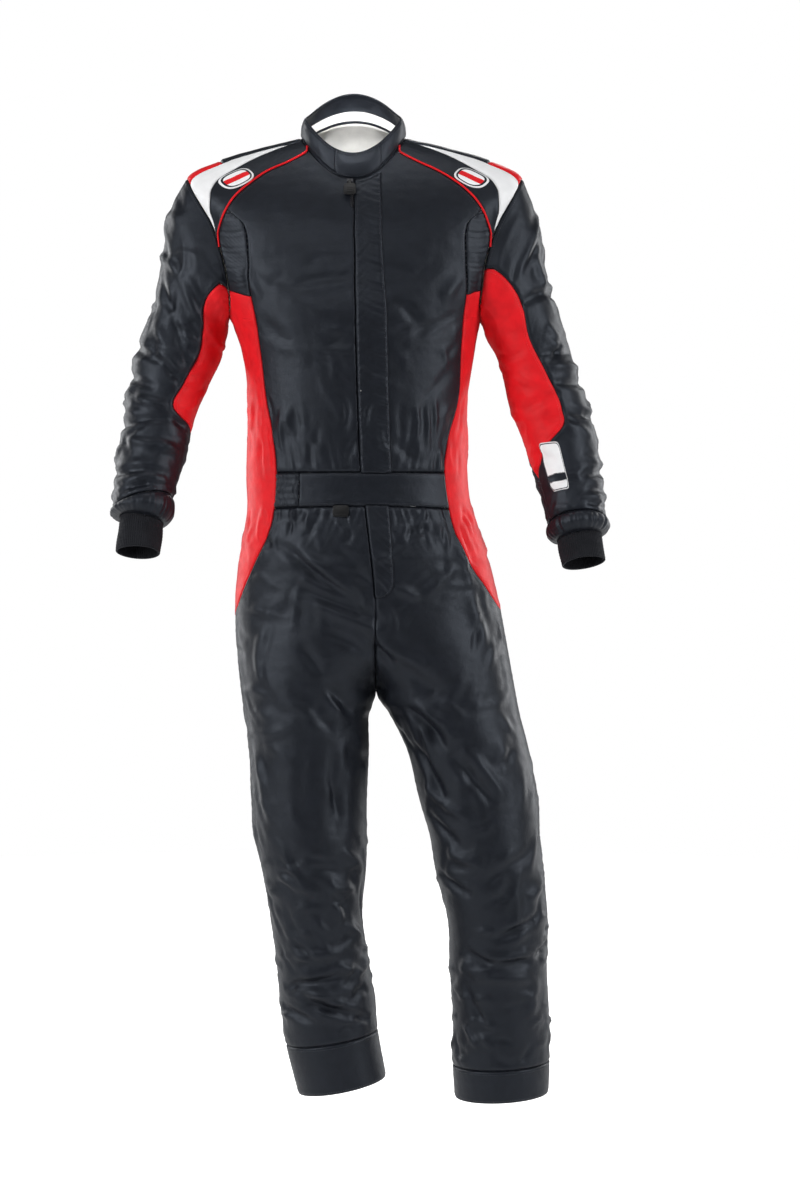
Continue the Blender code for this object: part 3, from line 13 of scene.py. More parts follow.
import json
import math
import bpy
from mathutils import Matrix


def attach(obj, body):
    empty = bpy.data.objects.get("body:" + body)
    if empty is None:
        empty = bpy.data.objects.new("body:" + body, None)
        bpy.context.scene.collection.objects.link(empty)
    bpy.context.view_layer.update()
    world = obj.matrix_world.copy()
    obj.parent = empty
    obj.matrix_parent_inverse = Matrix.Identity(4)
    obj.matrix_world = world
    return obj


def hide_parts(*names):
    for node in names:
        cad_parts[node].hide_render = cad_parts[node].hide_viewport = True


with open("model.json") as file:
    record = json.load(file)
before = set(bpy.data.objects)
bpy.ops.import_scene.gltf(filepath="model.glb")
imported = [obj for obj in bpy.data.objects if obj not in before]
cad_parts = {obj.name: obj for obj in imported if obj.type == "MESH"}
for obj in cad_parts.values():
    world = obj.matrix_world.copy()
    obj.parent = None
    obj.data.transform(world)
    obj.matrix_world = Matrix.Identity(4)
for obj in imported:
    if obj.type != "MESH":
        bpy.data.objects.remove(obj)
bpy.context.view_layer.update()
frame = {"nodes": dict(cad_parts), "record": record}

import zlib

import bmesh
import bpy
import numpy as np
from mathutils import Vector

# ---------------------------------------------------------------- sizes, in millimetres
MM = 0.001
CELL = 4.0  # spacing of the fine rows and columns
SHELL = 1.7  # thickness of a panel
STEP, STEP_DEGREES = 0.01, 0.5  # how far the surfaces are probed for a normal, in levels and degrees
CROTCH_DELAY = 0.5  # levels by which the back parts into legs after the front
ARMHOLE_PULL = 2.5  # levels over which the sleeve takes its rings' shape
FOLD_REACH = 5  # half widths

RIGHT, LEFT = -1, 1  # the wearer's sides; x has the same sign
SIDE_WORD = {RIGHT: "right", LEFT: "left"}


def table(columns, *rows):
    """A table with named columns, as {name: array}."""
    return {name: np.array([row[i] for row in rows], float) for i, name in enumerate(columns.split())}


# Levels of the body where something begins or ends.
NECK, SHOULDER_POINT, ARMPIT, BELT_TOP, BELT_BOTTOM = 0.0, 4.0, 8.0, 11.0, 12.0
FLY_BOTTOM, HIP_TIP, CROTCH, HEM_SEAM, HEM = 14.0, 14.5, 16.0, 25.0, 26.0
STRAP_END, WHITE_START, WHITE_END, PIPING_END, GUSSET_TOP = 3.0, 0.5, 5.2, 5.65, 7.15
GUSSET_BACK_TOP = 6.4  # behind, the gusset's fork runs up to a point on the armhole
LINING_END = 2.5

# Trunk: x of the right and left side lines and of the middle, z of the side line and of the middle
# in front and behind, y of the side line, and how far the front and the back reach from it.
TRUNK = table(
    "level right left middle z_side z_front z_back y_side front back square",
    (0, -77, 76, 2, 4, -58, 34, 5, 70, 54, 2.0),  # neck seam
    (1, -112, 115, 2, -4, -84, 8, 6, 88, 80, 2.0),
    (2, -152, 156, 3, -14, -112, -30, 7, 102, 98, 2.0),
    (3, -198, 203, 3, -28, -138, -75, 8, 111, 112, 2.0),
    (4, -248, 251, 4, -54, -165, -125, 9, 116, 119, 2.0),  # shoulder point
    (5, -236, 241, 4, -105, -192, -165, 9, 119, 124, 2.05),
    (6, -225, 229, 4, -156, -219, -200, 8, 122, 126, 2.1),
    (7, -208, 213, 5, -207, -246, -232, 6, 124, 126, 2.15),
    (8, -186, 191, 5, -258, -275, -265, 5, 123, 123, 2.2),  # armpit
    (9, -166, 180, 6, -314, -318, -314, 5, 120, 116, 2.2),
    (10, -158, 170, 8, -386, -388, -386, 4, 116, 106, 2.2),
    (11, -161, 170, 12, -490, -488, -492, 5, 113, 98, 2.2),  # belt, top
    (12, -160, 177, 18, -545, -536, -545, 6, 115, 104, 2.2),  # belt, bottom
    (13, -169, 197, 26, -603, -600, -603, 6, 121, 118, 2.2),
    (14, -178, 215, 33, -673, -672, -673, 7, 117, 128, 2.15),  # fly, bottom
    (15, -177, 228, 33, -740, -738, -735, 6, 110, 128, 2.1),
    (16, -170, 242, 33, -818, -818, -818, 4, 100, 112, 2.0),  # crotch
)
# Legs: the outer and inner side lines, and how far the cloth reaches in front of and behind them.
LEG_COLUMNS = "level outer z_outer inner z_inner y_side front back"
LEG = {
    RIGHT: table(
        LEG_COLUMNS,
        (17, -164, -854, 22, -854, 2, 98, 104),
        (18, -158, -908, 22, -908, 0, 94, 98),
        (19, -154, -981, 19, -981, -4, 88, 88),
        (20, -150, -1036, 19, -1036, -8, 83, 80),
        (21, -138, -1091, 18, -1084, -10, 78, 76),  # knee
        (22, -126, -1164, 12, -1155, -6, 74, 73),
        (23, -117, -1237, 21, -1225, 0, 71, 71),
        (24, -112, -1300, 31, -1284, 5, 69, 69),
        (25, -104, -1357, 35, -1334, 7, 68, 68),  # hem band, top
        (26, -86, -1432, 48, -1406, 8, 66, 66),  # hem
    ),
    LEFT: table(
        LEG_COLUMNS,
        (17, 249, -854, 54, -854, 2, 98, 104),
        (18, 263, -908, 80, -908, 0, 94, 98),
        (19, 277, -981, 98, -981, -4, 88, 88),
        (20, 280, -1036, 114, -1036, -8, 84, 80),
        (21, 285, -1091, 123, -1091, -10, 80, 77),  # knee
        (22, 292, -1164, 141, -1164, -6, 77, 75),
        (23, 291, -1237, 144, -1237, 0, 74, 73),
        (24, 295, -1311, 149, -1311, 5, 72, 72),
        (25, 296, -1381, 149, -1388, 7, 70, 70),  # hem band, top
        (26, 295, -1430, 152, -1438, 8, 68, 68),  # hem
    ),
}
# Sleeves: the outer and inner ends of each ring, seen from the front, the y of its middle, and how
# far it reaches in front of and behind that. The lean lifts the front of a ring, across a forearm
# that reaches forward. Level 0 is the armhole.
SLEEVE_COLUMNS = "level x_outer z_outer x_inner z_inner y_middle front back lean"
SLEEVE = {
    RIGHT: table(
        SLEEVE_COLUMNS,
        (0, -248, -54, -186, -258, 8, 60, 62, 0),
        (1, -273, -101, -190, -270, 9, 68, 68, 0),
        (2, -284, -167, -189, -278, 10, 66, 66, 0),
        (3, -300, -241, -191, -294, 10, 62, 62, 0),
        (4, -320, -295, -199, -324, 8, 59, 59, 0.03),
        (5, -334, -358, -219, -366, 4, 56, 56, 0.1),  # elbow
        (6, -344, -418, -239, -414, -6, 53, 53, 0.2),
        (7, -353, -477, -248, -460, -20, 51, 51, 0.3),
        (8, -357, -527, -263, -507, -38, 48, 48, 0.38),
        (9, -355, -546, -268, -527, -46, 45, 45, 0.42),  # wrist casing, top
    ),
    LEFT: table(
        SLEEVE_COLUMNS,
        (0, 251, -54, 191, -258, 8, 60, 62, 0),
        (1, 274, -115, 193, -272, 9, 68, 68, 0),
        (2, 287, -190, 199, -294, 10, 66, 66, 0),
        (3, 309, -262, 212, -316, 9, 62, 62, 0),
        (4, 329, -328, 223, -350, 6, 59, 59, 0.03),
        (5, 350, -390, 233, -395, 2, 57, 57, 0.1),  # elbow
        (6, 363, -440, 252, -442, -8, 54, 54, 0.2),
        (7, 370, -495, 268, -495, -22, 51, 51, 0.3),
        (8, 373, -538, 283, -544, -38, 47, 47, 0.38),
        (9, 373, -557, 289, -566, -46, 44, 44, 0.42),  # wrist casing, top
    ),
}
# Wrist casing: how far along the arm from its top, how far out of the sleeve's last ring, and how
# far it has closed on to the cuff.
CASING = table(
    "along out closing",
    (0, 0, 0),
    (6, 4, 0),
    (16, 6, 0.1),
    (24, 3, 0.45),
    (26, 0, 1),
)
KNIT_HALF_WIDTH, KNIT_HALF_DEPTH = 32.0, 30.0
KNIT_TOP, KNIT_END = 20.0, {RIGHT: 76.0, LEFT: 66.0}  # along the arm from the top of the casing
MOUTH_GAP = 1.2  # from the cuff to the middle of the casing's closed end

# Rim of the collar: half width, y in front and behind, z at the side, in front and behind.
RIM = {"half_width": 73, "middle": 0, "y_side": -2, "front": 60, "back": 58}
RIM.update({"z_side": 35, "z_front": -21, "z_back": 76})
COLLAR_SWELL = 2.5  # how far the collar swells between its seam and its rim

# Seams that run down the front, as the x of each side at a height, seen from the front.
PIPING_LINE = table(
    "z right left",
    (-153, -201, 205),
    (-126, -195, 199),
    (-104, -186, 190),
    (-82, -171, 174),
    (-64, -150, 153),
    (-45, -122, 122),
    (-34, -97, 98),
    (-18, -68, 68),
)
GUSSET_LINE = table(
    "z right left",
    (-700, -178, 222),
    (-667, -166, 202),
    (-622, -146, 172),
    (-577, -125, 151),
    (-533, -115, 140),
    (-488, -113, 135),
    (-443, -117, 140),
    (-383, -128, 156),
    (-308, -137, 160),
    (-263, -143, 163),
    (-222, -151, 168),
    (-178, -153, 166),
    (-126, -160, 168),
    (-97, -176, 180),
)
WHITE_LINE = table(
    "z right left",
    (-131, -209, 213),
    (-90, -211, 215),
    (-69, -207, 211),
    (-57, -198, 202),
    (-40, -171, 175),
    (-22, -138, 142),
    (-3, -92, 95),
)
# The strap along the shoulder ridge: half its width, and the width of the white stripe beside it.
STRAP_HALF_WIDTH = table("level width", (0, 17), (2, 20), (4, 27))
WHITE_STRIPE = 5.0
FLAP_WIDTH = 40.0  # the flap over the zip, from the middle line
FLY_WIDTH = table("level width", (12, 30), (13, 27), (14, 24))
ARMHOLE_ANGLE = 32.0  # how far round the front and the back the armhole reaches
ARMHOLE_SHAPE = 0.8  # below 1, the armhole is squarer than an ellipse

# Under sleeve: the angles of its front and back edges on each sleeve.
UNDER_SLEEVE = table(
    "level right_front right_back left_front left_back",
    (0, 109, 235, 94, 214),
    (1, 108, 232, 86, 212),
    (2, 109, 230, 82, 210),
    (3, 116, 228, 92, 208),
    (4, 122, 230, 84, 208),
    (5, 117, 232, 76, 206),
    (5.75, 116, 226, 84, 200),
    (6.5, 176, 184, 128, 184),
    (7.25, 180, 180, 160, 165),
)
UNDER_SLEEVE_END = {RIGHT: 6.5, LEFT: 7.25}
WRIST = 9.0  # the sleeve's last level

# Small pieces sewn on: the place of the middle, as an angle and a level, and half the stretch of each.
PATCH = {
    "shoulder_badge_right": (31, 3.0, 5.6, 0.5),
    "shoulder_badge_left": (31, 2.95, 5.6, 0.5),
    "sleeve_label": (116, 6.98, 17, 0.72),
    "belt_tab": (80, 12.16, 4, 0.13),
}

# Largest folds: where each begins and ends on its surface, its half width, and how high it stands;
# below zero it is a trough. The back of each limb repeats the folds of the other limb's front.
FOLD_COLUMNS = "side angle_a level_a angle_b level_b width height"
BODY_FOLDS = table(
    FOLD_COLUMNS,
    (RIGHT, 46, 6.03, 50, 7.18, 9, 3),  # chest and waist
    (RIGHT, 44, 7.93, 59, 8.72, 12, -3),
    (RIGHT, 84, 10.83, 90, 10.38, 7, -3),
    (RIGHT, 42, 10.60, 55, 10.03, 10, 3),
    (LEFT, 77, 6.78, 59, 8.25, 9, -2.5),
    (LEFT, 55, 7.10, 46, 6.28, 9, 3),
    (LEFT, 76, 10.50, 59, 10.83, 8, -2.5),
    (RIGHT, 50, 12.88, 86, 14.20, 9, -6),  # right hip and thigh
    (RIGHT, 58, 12.93, 82, 13.83, 9, 4),
    (RIGHT, 56, 13.68, 101, 14.62, 8, -5.5),
    (RIGHT, 55, 13.95, 111, 14.95, 9, 3.5),
    (RIGHT, 77, 14.75, 115, 15.25, 9, -4),
    (RIGHT, 70, 15.05, 96, 15.58, 9, -4.5),
    (RIGHT, 96, 15.58, 140, 16.53, 9, -4.5),
    (RIGHT, 62, 12.08, 53, 12.55, 7, -3),
    (RIGHT, 78, 16.10, 104, 17.43, 12, 3.5),
    (RIGHT, 106, 15.95, 130, 17.28, 9, 3.5),
    (RIGHT, 119, 17.98, 118, 19.93, 13, -4),
    (LEFT, 82, 13.78, 70, 14.00, 8, 4.5),  # left hip and thigh
    (LEFT, 70, 14.00, 44, 13.23, 9, 4.5),
    (LEFT, 74, 12.75, 58, 12.48, 8, -3.5),
    (LEFT, 42, 12.70, 40, 13.85, 11, 5),
    (LEFT, 40, 13.85, 40, 15.15, 12, 5),
    (LEFT, 106, 14.68, 116, 15.45, 8, -5.5),
    (LEFT, 116, 15.45, 90, 16.10, 14, -5),
    (LEFT, 109, 14.95, 92, 15.50, 10, 4),
    (LEFT, 130, 16.43, 108, 17.95, 8, -6.5),
    (LEFT, 108, 17.95, 76, 18.98, 8, -5.5),
    (LEFT, 117, 16.10, 95, 17.70, 9, 5),
    (LEFT, 95, 17.70, 64, 18.88, 9, 4.5),
    (LEFT, 144, 17.70, 124, 19.03, 9, -6),
    (LEFT, 147, 18.62, 101, 19.40, 8, 4.5),
    (LEFT, 154, 19.25, 117, 20.15, 8, -4.5),
    (LEFT, 140, 20.28, 98, 20.65, 8, 4),  # left knee and shin
    (LEFT, 160, 20.93, 114, 21.38, 7, -5),
    (LEFT, 106, 21.18, 40, 20.33, 8, -4.5),
    (LEFT, 51, 21.48, 19, 21.12, 10, 6),
    (LEFT, 99, 22.28, 30, 21.75, 7, -7),
    (LEFT, 137, 22.53, 94, 22.83, 7, -7),
    (LEFT, 90, 22.80, 48, 22.73, 7, -7),
    (LEFT, 48, 22.73, 8, 22.43, 7, -7),
    (LEFT, 116, 22.62, 52, 22.60, 6, 4),
    (LEFT, 127, 23.03, 44, 23.12, 9, 4.5),
    (LEFT, 138, 23.20, 108, 24.25, 8, -4),
    (LEFT, 42, 23.05, 54, 23.98, 11, 4),
    (RIGHT, 124, 20.25, 160, 21.03, 7, 5),  # right knee and shin
    (RIGHT, 87, 20.78, 134, 20.88, 9, -4.5),
    (RIGHT, 102, 21.18, 148, 21.43, 7, 4),
    (RIGHT, 50, 21.00, 95, 21.40, 8, 4),
    (RIGHT, 116, 21.60, 126, 22.03, 7, 5),
    (RIGHT, 126, 22.03, 159, 22.48, 7, 5.5),
    (RIGHT, 56, 22.70, 126, 22.62, 9, 5),
    (RIGHT, 30, 23.38, 123, 23.18, 7, -7),
    (RIGHT, 102, 22.83, 146, 23.25, 8, 5),
    (RIGHT, 22, 23.88, 78, 24.28, 7, -6.5),
    (RIGHT, 64, 23.70, 118, 24.23, 6, -6.5),
    (RIGHT, 118, 24.23, 150, 24.60, 6, -6),
    (RIGHT, 68, 23.48, 136, 24.12, 7, 5),
)
SLEEVE_FOLDS = table(
    FOLD_COLUMNS,
    (RIGHT, -30, 1.10, 44, 1.73, 9, 4),
    (RIGHT, -23, 2.07, 68, 1.97, 7, 4),
    (RIGHT, 68, 1.97, 126, 3.03, 8, 4.5),
    (RIGHT, 26, 2.35, 66, 2.95, 8, -5),
    (RIGHT, 66, 2.95, 98, 3.93, 8, -5),
    (RIGHT, 40, 3.27, 112, 4.90, 9, 5),
    (RIGHT, -16, 4.08, 78, 4.43, 7, -6),
    (RIGHT, 78, 4.43, 114, 4.97, 7, -6),
    (RIGHT, -17, 4.75, 80, 5.15, 7, -6),
    (RIGHT, 5, 5.32, 106, 5.70, 7, 6),
    (RIGHT, -20, 6.12, 118, 6.08, 7, -6),
    (RIGHT, 118, 6.08, 153, 6.33, 6, -5),
    (RIGHT, 40, 6.48, 101, 6.98, 7, 5),
    (RIGHT, -13, 7.23, 150, 7.88, 6, -5.5),
    (RIGHT, -18, 7.68, 157, 8.50, 6, -5),
    (RIGHT, 89, 6.75, 155, 7.27, 8, 4),
    (LEFT, -36, 0.60, 56, 1.38, 8, 4),
    (LEFT, 37, 1.50, 32, 2.45, 9, 5),
    (LEFT, 102, 1.97, -34, 2.72, 8, -5.5),
    (LEFT, -34, 2.72, 6, 3.08, 7, -5),
    (LEFT, 61, 2.93, 39, 3.40, 9, 4.5),
    (LEFT, 92, 3.63, 4, 3.73, 7, -6),
    (LEFT, 82, 3.97, -26, 4.18, 7, 5),
    (LEFT, 82, 4.37, -9, 4.53, 7, -6.5),
    (LEFT, -38, 4.73, 30, 5.37, 8, 5.5),
    (LEFT, 110, 5.63, 72, 5.25, 7, -5.5),
    (LEFT, 72, 5.25, -12, 5.53, 7, -6),
    (LEFT, 142, 5.25, 70, 4.65, 7, -4.5),
    (LEFT, 78, 7.3, -14, 6.83, 7, -5.5),
    (LEFT, -36, 6.18, 3, 6.78, 8, 5),
    (LEFT, 88, 8.1, -36, 7.45, 6, 4),
)
FOLD_STOPS = 7  # points along a fold's path
BACK_SHARE = 0.8  # how high the folds behind stand, against those in front
BACK_DROP = 0.3  # how much lower they lie, in levels
FOLD_CREST, FOLD_DIP, FOLD_DIP_WIDTH = 1.3, 0.3, 2.4  # a fold's crest, and the dip on both sides of it
FOLD_TAPER = 0.7  # how slowly a fold sinks toward its ends

TIP_LEVEL = 4.15  # where the corners of the strap's red end lie on the armhole
FLY_CURVE = 0.35  # levels over which the fly's foot curves in
# The under sleeve begins at these angles of the armhole.
UNDER_SLEEVE_TOP = {RIGHT: (125.1, 234.9), LEFT: (101.5, 212.2)}

# Seam that curves across the chest on each side: a groove a little above the waist.
CHEST_SEAM = table(
    FOLD_COLUMNS,
    (RIGHT, 46, 8.40, 64, 8.75, 2.2, -1.2),
    (RIGHT, 64, 8.75, 80, 9.35, 2.2, -1.2),
    (RIGHT, 80, 9.35, 88, 9.74, 2.2, -1.2),
    (LEFT, 47, 8.20, 55, 8.58, 2.2, -1.2),
    (LEFT, 55, 8.58, 71, 9.12, 2.2, -1.2),
)
# Small folds: how many on each side of each region, how long, how steep (0 across, 90 down), how wide
# and high. The same regions hold the front and the back.
REGION_COLUMNS = "angle_a angle_b level_a level_b count length slant spread width height"
BODY_REGIONS = table(
    REGION_COLUMNS,
    (25, 88, 4.5, 8.0, 16, 60, 80, 25, 8, 0.98),  # chest
    (-88, -25, 3.5, 8.0, 16, 60, 85, 25, 8, 0.98),  # shoulder blades
    (-88, 88, 8.0, 10.5, 46, 42, 65, 30, 6, 1.3),  # ribs
    (-88, 88, 10.1, 10.9, 46, 26, 86, 10, 4.5, 1.8),  # gathered into the belt
    (-88, 88, 12.1, 12.9, 50, 28, 84, 14, 4.5, 1.8),
    (-88, 88, 12.8, 15.6, 46, 58, 40, 35, 7, 1.7),  # hips
    (-170, 170, 15.6, 20.0, 90, 70, 62, 30, 8, 1.7),  # thighs
    (-175, 175, 20.0, 22.4, 60, 55, 25, 28, 6, 2),  # knees
    (-175, 175, 22.4, 24.8, 96, 55, 4, 20, 5.5, 2.2),  # shins
)
SLEEVE_REGIONS = table(
    REGION_COLUMNS,
    (-170, 170, 0.5, 3.0, 40, 48, 50, 35, 6, 1.4),
    (-175, 175, 3.0, 6.0, 64, 44, 8, 26, 5.5, 1.8),
    (-175, 175, 6.0, 8.7, 70, 40, 0, 20, 5, 1.8),
)
# Millimetres in a degree and in a level of each surface.
BODY_DEGREE, BODY_LEVEL, SLEEVE_DEGREE, SLEEVE_LEVEL = 1.8, 58, 1.0, 58
RIPPLE_WAVES, RIPPLE_LENGTHS, RIPPLE_HEIGHT = 14, (14, 45), 0.18

# How an edge is sewn: how far in its rows of stitches run, how deep the seam lies and over what width
# it rolls down, the swell beside it, and the height, wave, reach and slant of its puckers.
SEAMS = {
    name: dict(zip("depth roll puff pucker wave reach slant".split(), values), stitches=stitches)
    for name, stitches, *values in (
        ("plain", (), 1.5, 1.9, 0.4, 0.35, 15, 13, 0.3),
        ("top", (5.5,), 1.5, 1.7, 0.4, 0.55, 12, 13, 0.6),
        ("gather", (), 1.5, 2.2, 0.9, 1.3, 13, 24, 0.1),
        ("free", (3.5,), 1.1, 1.4, 0.2, 0.3, 14, 9, 0.6),
        ("placket", (4.0,), 1.6, 1.6, 0.5, 1.8, 10, 20, 0.9),
        ("narrow", (2.5,), 0.9, 1.3, 0.2, 0.25, 9, 6, 0.5),
        ("join", (), 1.3, 1.4, 0.2, 0.15, 11, 7, 0.3),
    )
}
SEAM_QUIET, END_QUIET = 5.0, 6.0  # how near a seam small folds fade, and puckers at an edge's ends
STITCH_DEPTH, STITCH_VALLEY = 0.7, 1.2
STITCH_LENGTH, STITCH_PITCH, STITCH_WIDTH, STITCH_HEIGHT, STITCH_SINK = 2.6, 3.6, 0.6, 0.35, 0.15
# A stitch has a point at each end and two triangles between: the corners of its faces.
STITCH_FACES = [(0, 1, 2), (0, 2, 3), (1, 4, 5, 2), (2, 5, 6, 3), (4, 7, 5)]
STITCH_FACES += [(5, 7, 6), (0, 3, 1), (1, 3, 6, 4), (4, 6, 7)]

# Sizes of the pieces.
FINE_CELL, CORD_CELL, LINING_CELL, BELT_CELL, TUCK_CELL, BACK_TUCK_CELL = 3.2, 5.0, 6.0, 3.0, 1.5, 1.6
PIPING_RADIUS, PIPING_LIFT = 1.5, 0.9
STRAP_CROWN, TIP_COLUMNS, END_ROWS = 1.2, 12, 4
BAND, FLAP_SHELL, FLY_SHELL, LINING_SHELL, COLLAR_SHELL, CASING_SHELL = 2.6, 1.3, 1.2, 0.9, 2.4, 1.4
BELT_LIFT, ELASTIC_SHARE = 1.4, 1 / 3  # the elastic's share of the belt's right half
ELASTIC_CHANNELS, ELASTIC_HEIGHT, TUCK_WAVE, TUCK_SWAY, TUCK_SWAYS = 5, 2.2, 7.0, 3, 9
GATHER_HEIGHT, GATHER_WAVE, GATHER_SLANT = 1.5, 7.5, -0.25
FLAP_TOP, FLAP_LIFT, FLY_LIFT, LINING_DEPTH = 0.28, 2.3, 2.3, 3.0
UNDER_START, UNDER_POINT = 0.5, 0.45  # levels over which the under sleeve takes its shape and ends
CASING_COLUMNS, CASING_ROWS, CASING_PLEATS, CASING_FOLD, CASING_LENGTH = 240, 22, 26, 1.1, 44
CASING_SEAM, CASING_SEAM_WIDTH, CASING_INSIDE = 1.3, 1.8, 6
KNIT_RIBS, KNIT_RIB_POINTS, KNIT_RIB_HEIGHT, KNIT_STEP, KNIT_COURSE = 62, 6, 0.8, 1.5, 4.5
KNIT_EDGE, KNIT_HIDDEN = 1.5, 6  # radius of the cuff's end, and how far it goes up inside the casing
COLLAR_ROWS, COLLAR_COLUMNS, COLLAR_LINED_ROWS = 22, 84, 8
COLLAR_FOLD, COLLAR_FOLD_WAVE, COLLAR_FOLD_SLANT = 0.5, 41, 0.7
COLLAR_FLAP = {RIGHT: (69.0, 90.0, 16), LEFT: (90.0, 58.0, 24)}  # the overlap: angles and columns
COLLAR_FLAP_LIFT = 1.9
NECK_CORD_DEPTH, NECK_CORD_DROP, NECK_CORD_RADIUS = 1.9, 0.7, 1.8  # the cord sewn into the neck seam
PATCH_RINGS, PATCH_TURNS, PATCH_LIFT, PATCH_SHELL, PATCH_EDGE = 30, 120, 1.6, 0.7, 0.25
# Patches: how square the outline is, the width of the edge as a share of the patch, and its bands of
# colour, as from, to (in shares of half the patch) and number of the colour.
PATCH_COLORS = ("white", "red", "black")
BADGE = (2.8, 0.24, [(-0.28, 0.28, 1)])
LABEL = (9, 0.08, [(0.3, 0.6, 2)])

# Plates of the zip's tab and of the belt's tab: the half outline as (half width, drop), the
# thickness, how far out the middle lies, and how much the edges are rounded.
TAB_OUTLINE = [(2.0, -2.6), (2.0, 4.0), (7.2, 5.2), (8.6, 8.0)]
TAB_OUTLINE += [(9.0, 13.0), (9.0, 22.0), (7.6, 24.4), (4.0, 25.0)]
TAB_PLATES = {
    "pull_tab_plate": (TAB_OUTLINE, 1.8, 0.0, 0.6),
    "pull_tab_face": ([(5.4, 8.0), (7.0, 9.6), (7.0, 21.4), (5.6, 23.0)], 0.5, 1.0, 0.2),
    "pull_tab_grip_0": ([(4.6, 11.4), (4.6, 12.8)], 0.7, 1.4, 0.25),
    "pull_tab_grip_1": ([(4.6, 15.4), (4.6, 16.8)], 0.7, 1.4, 0.25),
    "pull_tab_grip_2": ([(4.6, 19.4), (4.6, 20.8)], 0.7, 1.4, 0.25),
}
BELT_TAB_LIFT = 2.4
BELT_TAB_PLATES = {
    "belt_tab_moulded": ([(9.5, -10.0), (11.6, -8.0), (11.6, 4.0), (9.0, 7.0)], 1.6, 0.0, 0.6),
    "belt_tab_rim": ([(8.6, 3.0), (8.6, 4.4)], 0.6, 0.9, 0.2),
}
TAB_PLACE = (86.0, 0.32)  # angle and level of the cloth that the zip's tab hangs on
TEETH_TOP, TEETH_END, TOOTH_PITCH, TEETH_ANGLE = 0.4, 1.6, 1.6, 88.6
# A tooth: half its width, length and height, how much narrower it is on top, and how far its middle
# lies aside and out.
TOOTH_WIDTH, TOOTH_LENGTH, TOOTH_HEIGHT, TOOTH_TAPER, TOOTH_ASIDE, TOOTH_LIFT = 1.6, 0.45, 0.6, 0.8, 0.9, 0.7


# ---------------------------------------------------------------- curves
def smooth(xs, ys, x):
    """A smooth curve through the points (xs, ys), read at x."""
    x = np.clip(np.asarray(x, float), xs[0], xs[-1])
    slope = np.gradient(ys, xs)
    i = np.clip(np.searchsorted(xs, x) - 1, 0, len(xs) - 2)
    width = xs[i + 1] - xs[i]
    t = (x - xs[i]) / width
    ends = ys[i] * (2 * t**3 - 3 * t**2 + 1) + ys[i + 1] * (3 * t**2 - 2 * t**3)
    slopes = slope[i] * (t**3 - 2 * t**2 + t) + slope[i + 1] * (t**3 - t**2)
    return ends + slopes * width


def ease(t):
    """0 to 1, with no slope at either end."""
    t = np.clip(t, 0, 1)
    return t * t * (3 - 2 * t)


def power(value, exponent):
    """A signed power, which turns a circle into a rounder or squarer one."""
    return np.sign(value) * np.abs(value) ** exponent


def unit(vectors):
    return vectors / np.maximum(np.linalg.norm(vectors, axis=-1, keepdims=True), 1e-12)


# ---------------------------------------------------------------- body
def body_table(side):
    """Trunk and leg of one side as one table: outer line, inner line, depths."""
    trunk, leg = TRUNK, LEG[side]
    joined = {
        "level": (trunk["level"], leg["level"]),
        "outer": (trunk[SIDE_WORD[side]], leg["outer"]),
        "inner": (trunk["middle"], leg["inner"]),
        "z_outer": (trunk["z_side"], leg["z_outer"]),
        "z_front": (trunk["z_front"], leg["z_inner"]),
        "z_back": (trunk["z_back"], leg["z_inner"]),
        "y_side": (trunk["y_side"], leg["y_side"]),
        "front": (trunk["front"], leg["front"]),
        "back": (trunk["back"], leg["back"]),
        "square": (trunk["square"], np.full(len(leg["level"]), 2.0)),
    }
    return {name: np.concatenate(parts) for name, parts in joined.items()}


BODY = {side: body_table(side) for side in (RIGHT, LEFT)}


def end_angle(angle, level):
    """How far round the cloth of one side goes: to the middle line, and below the crotch to the inseam."""
    start = np.where(np.asarray(angle) >= 0, FLY_BOTTOM, FLY_BOTTOM + CROTCH_DELAY)
    share = np.clip((level - start) / (CROTCH - start), 0, 1)
    centre = 1 - 0.5 * ease(share)  # where the section is centred, between its outer and inner lines
    square = smooth(TRUNK["level"], TRUNK["square"], level)
    return np.degrees(np.arccos(power(1 - 1 / centre, square / 2)))


def body_base(side, angle, level):
    """Points of the unfolded body surface."""
    angle, level = np.broadcast_arrays(np.asarray(angle, float), np.asarray(level, float))
    row = {name: smooth(BODY[side]["level"], values, level) for name, values in BODY[side].items()}
    front = angle >= 0
    turn, last = np.radians(np.abs(angle)), np.radians(end_angle(angle, level))
    exponent = 2 / row["square"]
    across = (1 - power(np.cos(turn), exponent)) / (1 - power(np.cos(last), exponent))
    reach = np.where(front, -row["front"], row["back"])
    z_inner = np.where(front, row["z_front"], row["z_back"])
    x_inner = np.where(level <= CROTCH, smooth(TRUNK["level"], TRUNK["middle"], level), row["inner"])
    x = row["outer"] + (x_inner - row["outer"]) * across
    y = row["y_side"] + reach * power(np.sin(turn), exponent)
    z = row["z_outer"] + (z_inner - row["z_outer"]) * np.sin(turn / last * math.pi / 2) ** 2
    return np.stack([x, y, z], axis=-1)


def probe(surface, angle, level, side):
    """Unit normals of a surface, pointing out of the suit."""
    along = surface(angle, level + STEP) - surface(angle, level - STEP)
    around = surface(angle + STEP_DEGREES, level) - surface(angle - STEP_DEGREES, level)
    return unit(np.cross(along, around) * -side)


def body_normal(side, angle, level):
    angle, level = np.broadcast_arrays(np.asarray(angle, float), np.asarray(level, float))
    normal = probe(lambda a, v: body_base(side, a, v), angle, level, side)
    on_middle = (np.abs(angle) > end_angle(angle, level) - 0.1) & (level <= CROTCH)
    normal[on_middle, 0] = 0
    normal[on_middle & (level > CROTCH - 1e-6)] = (0, 0, -1)
    return unit(normal)


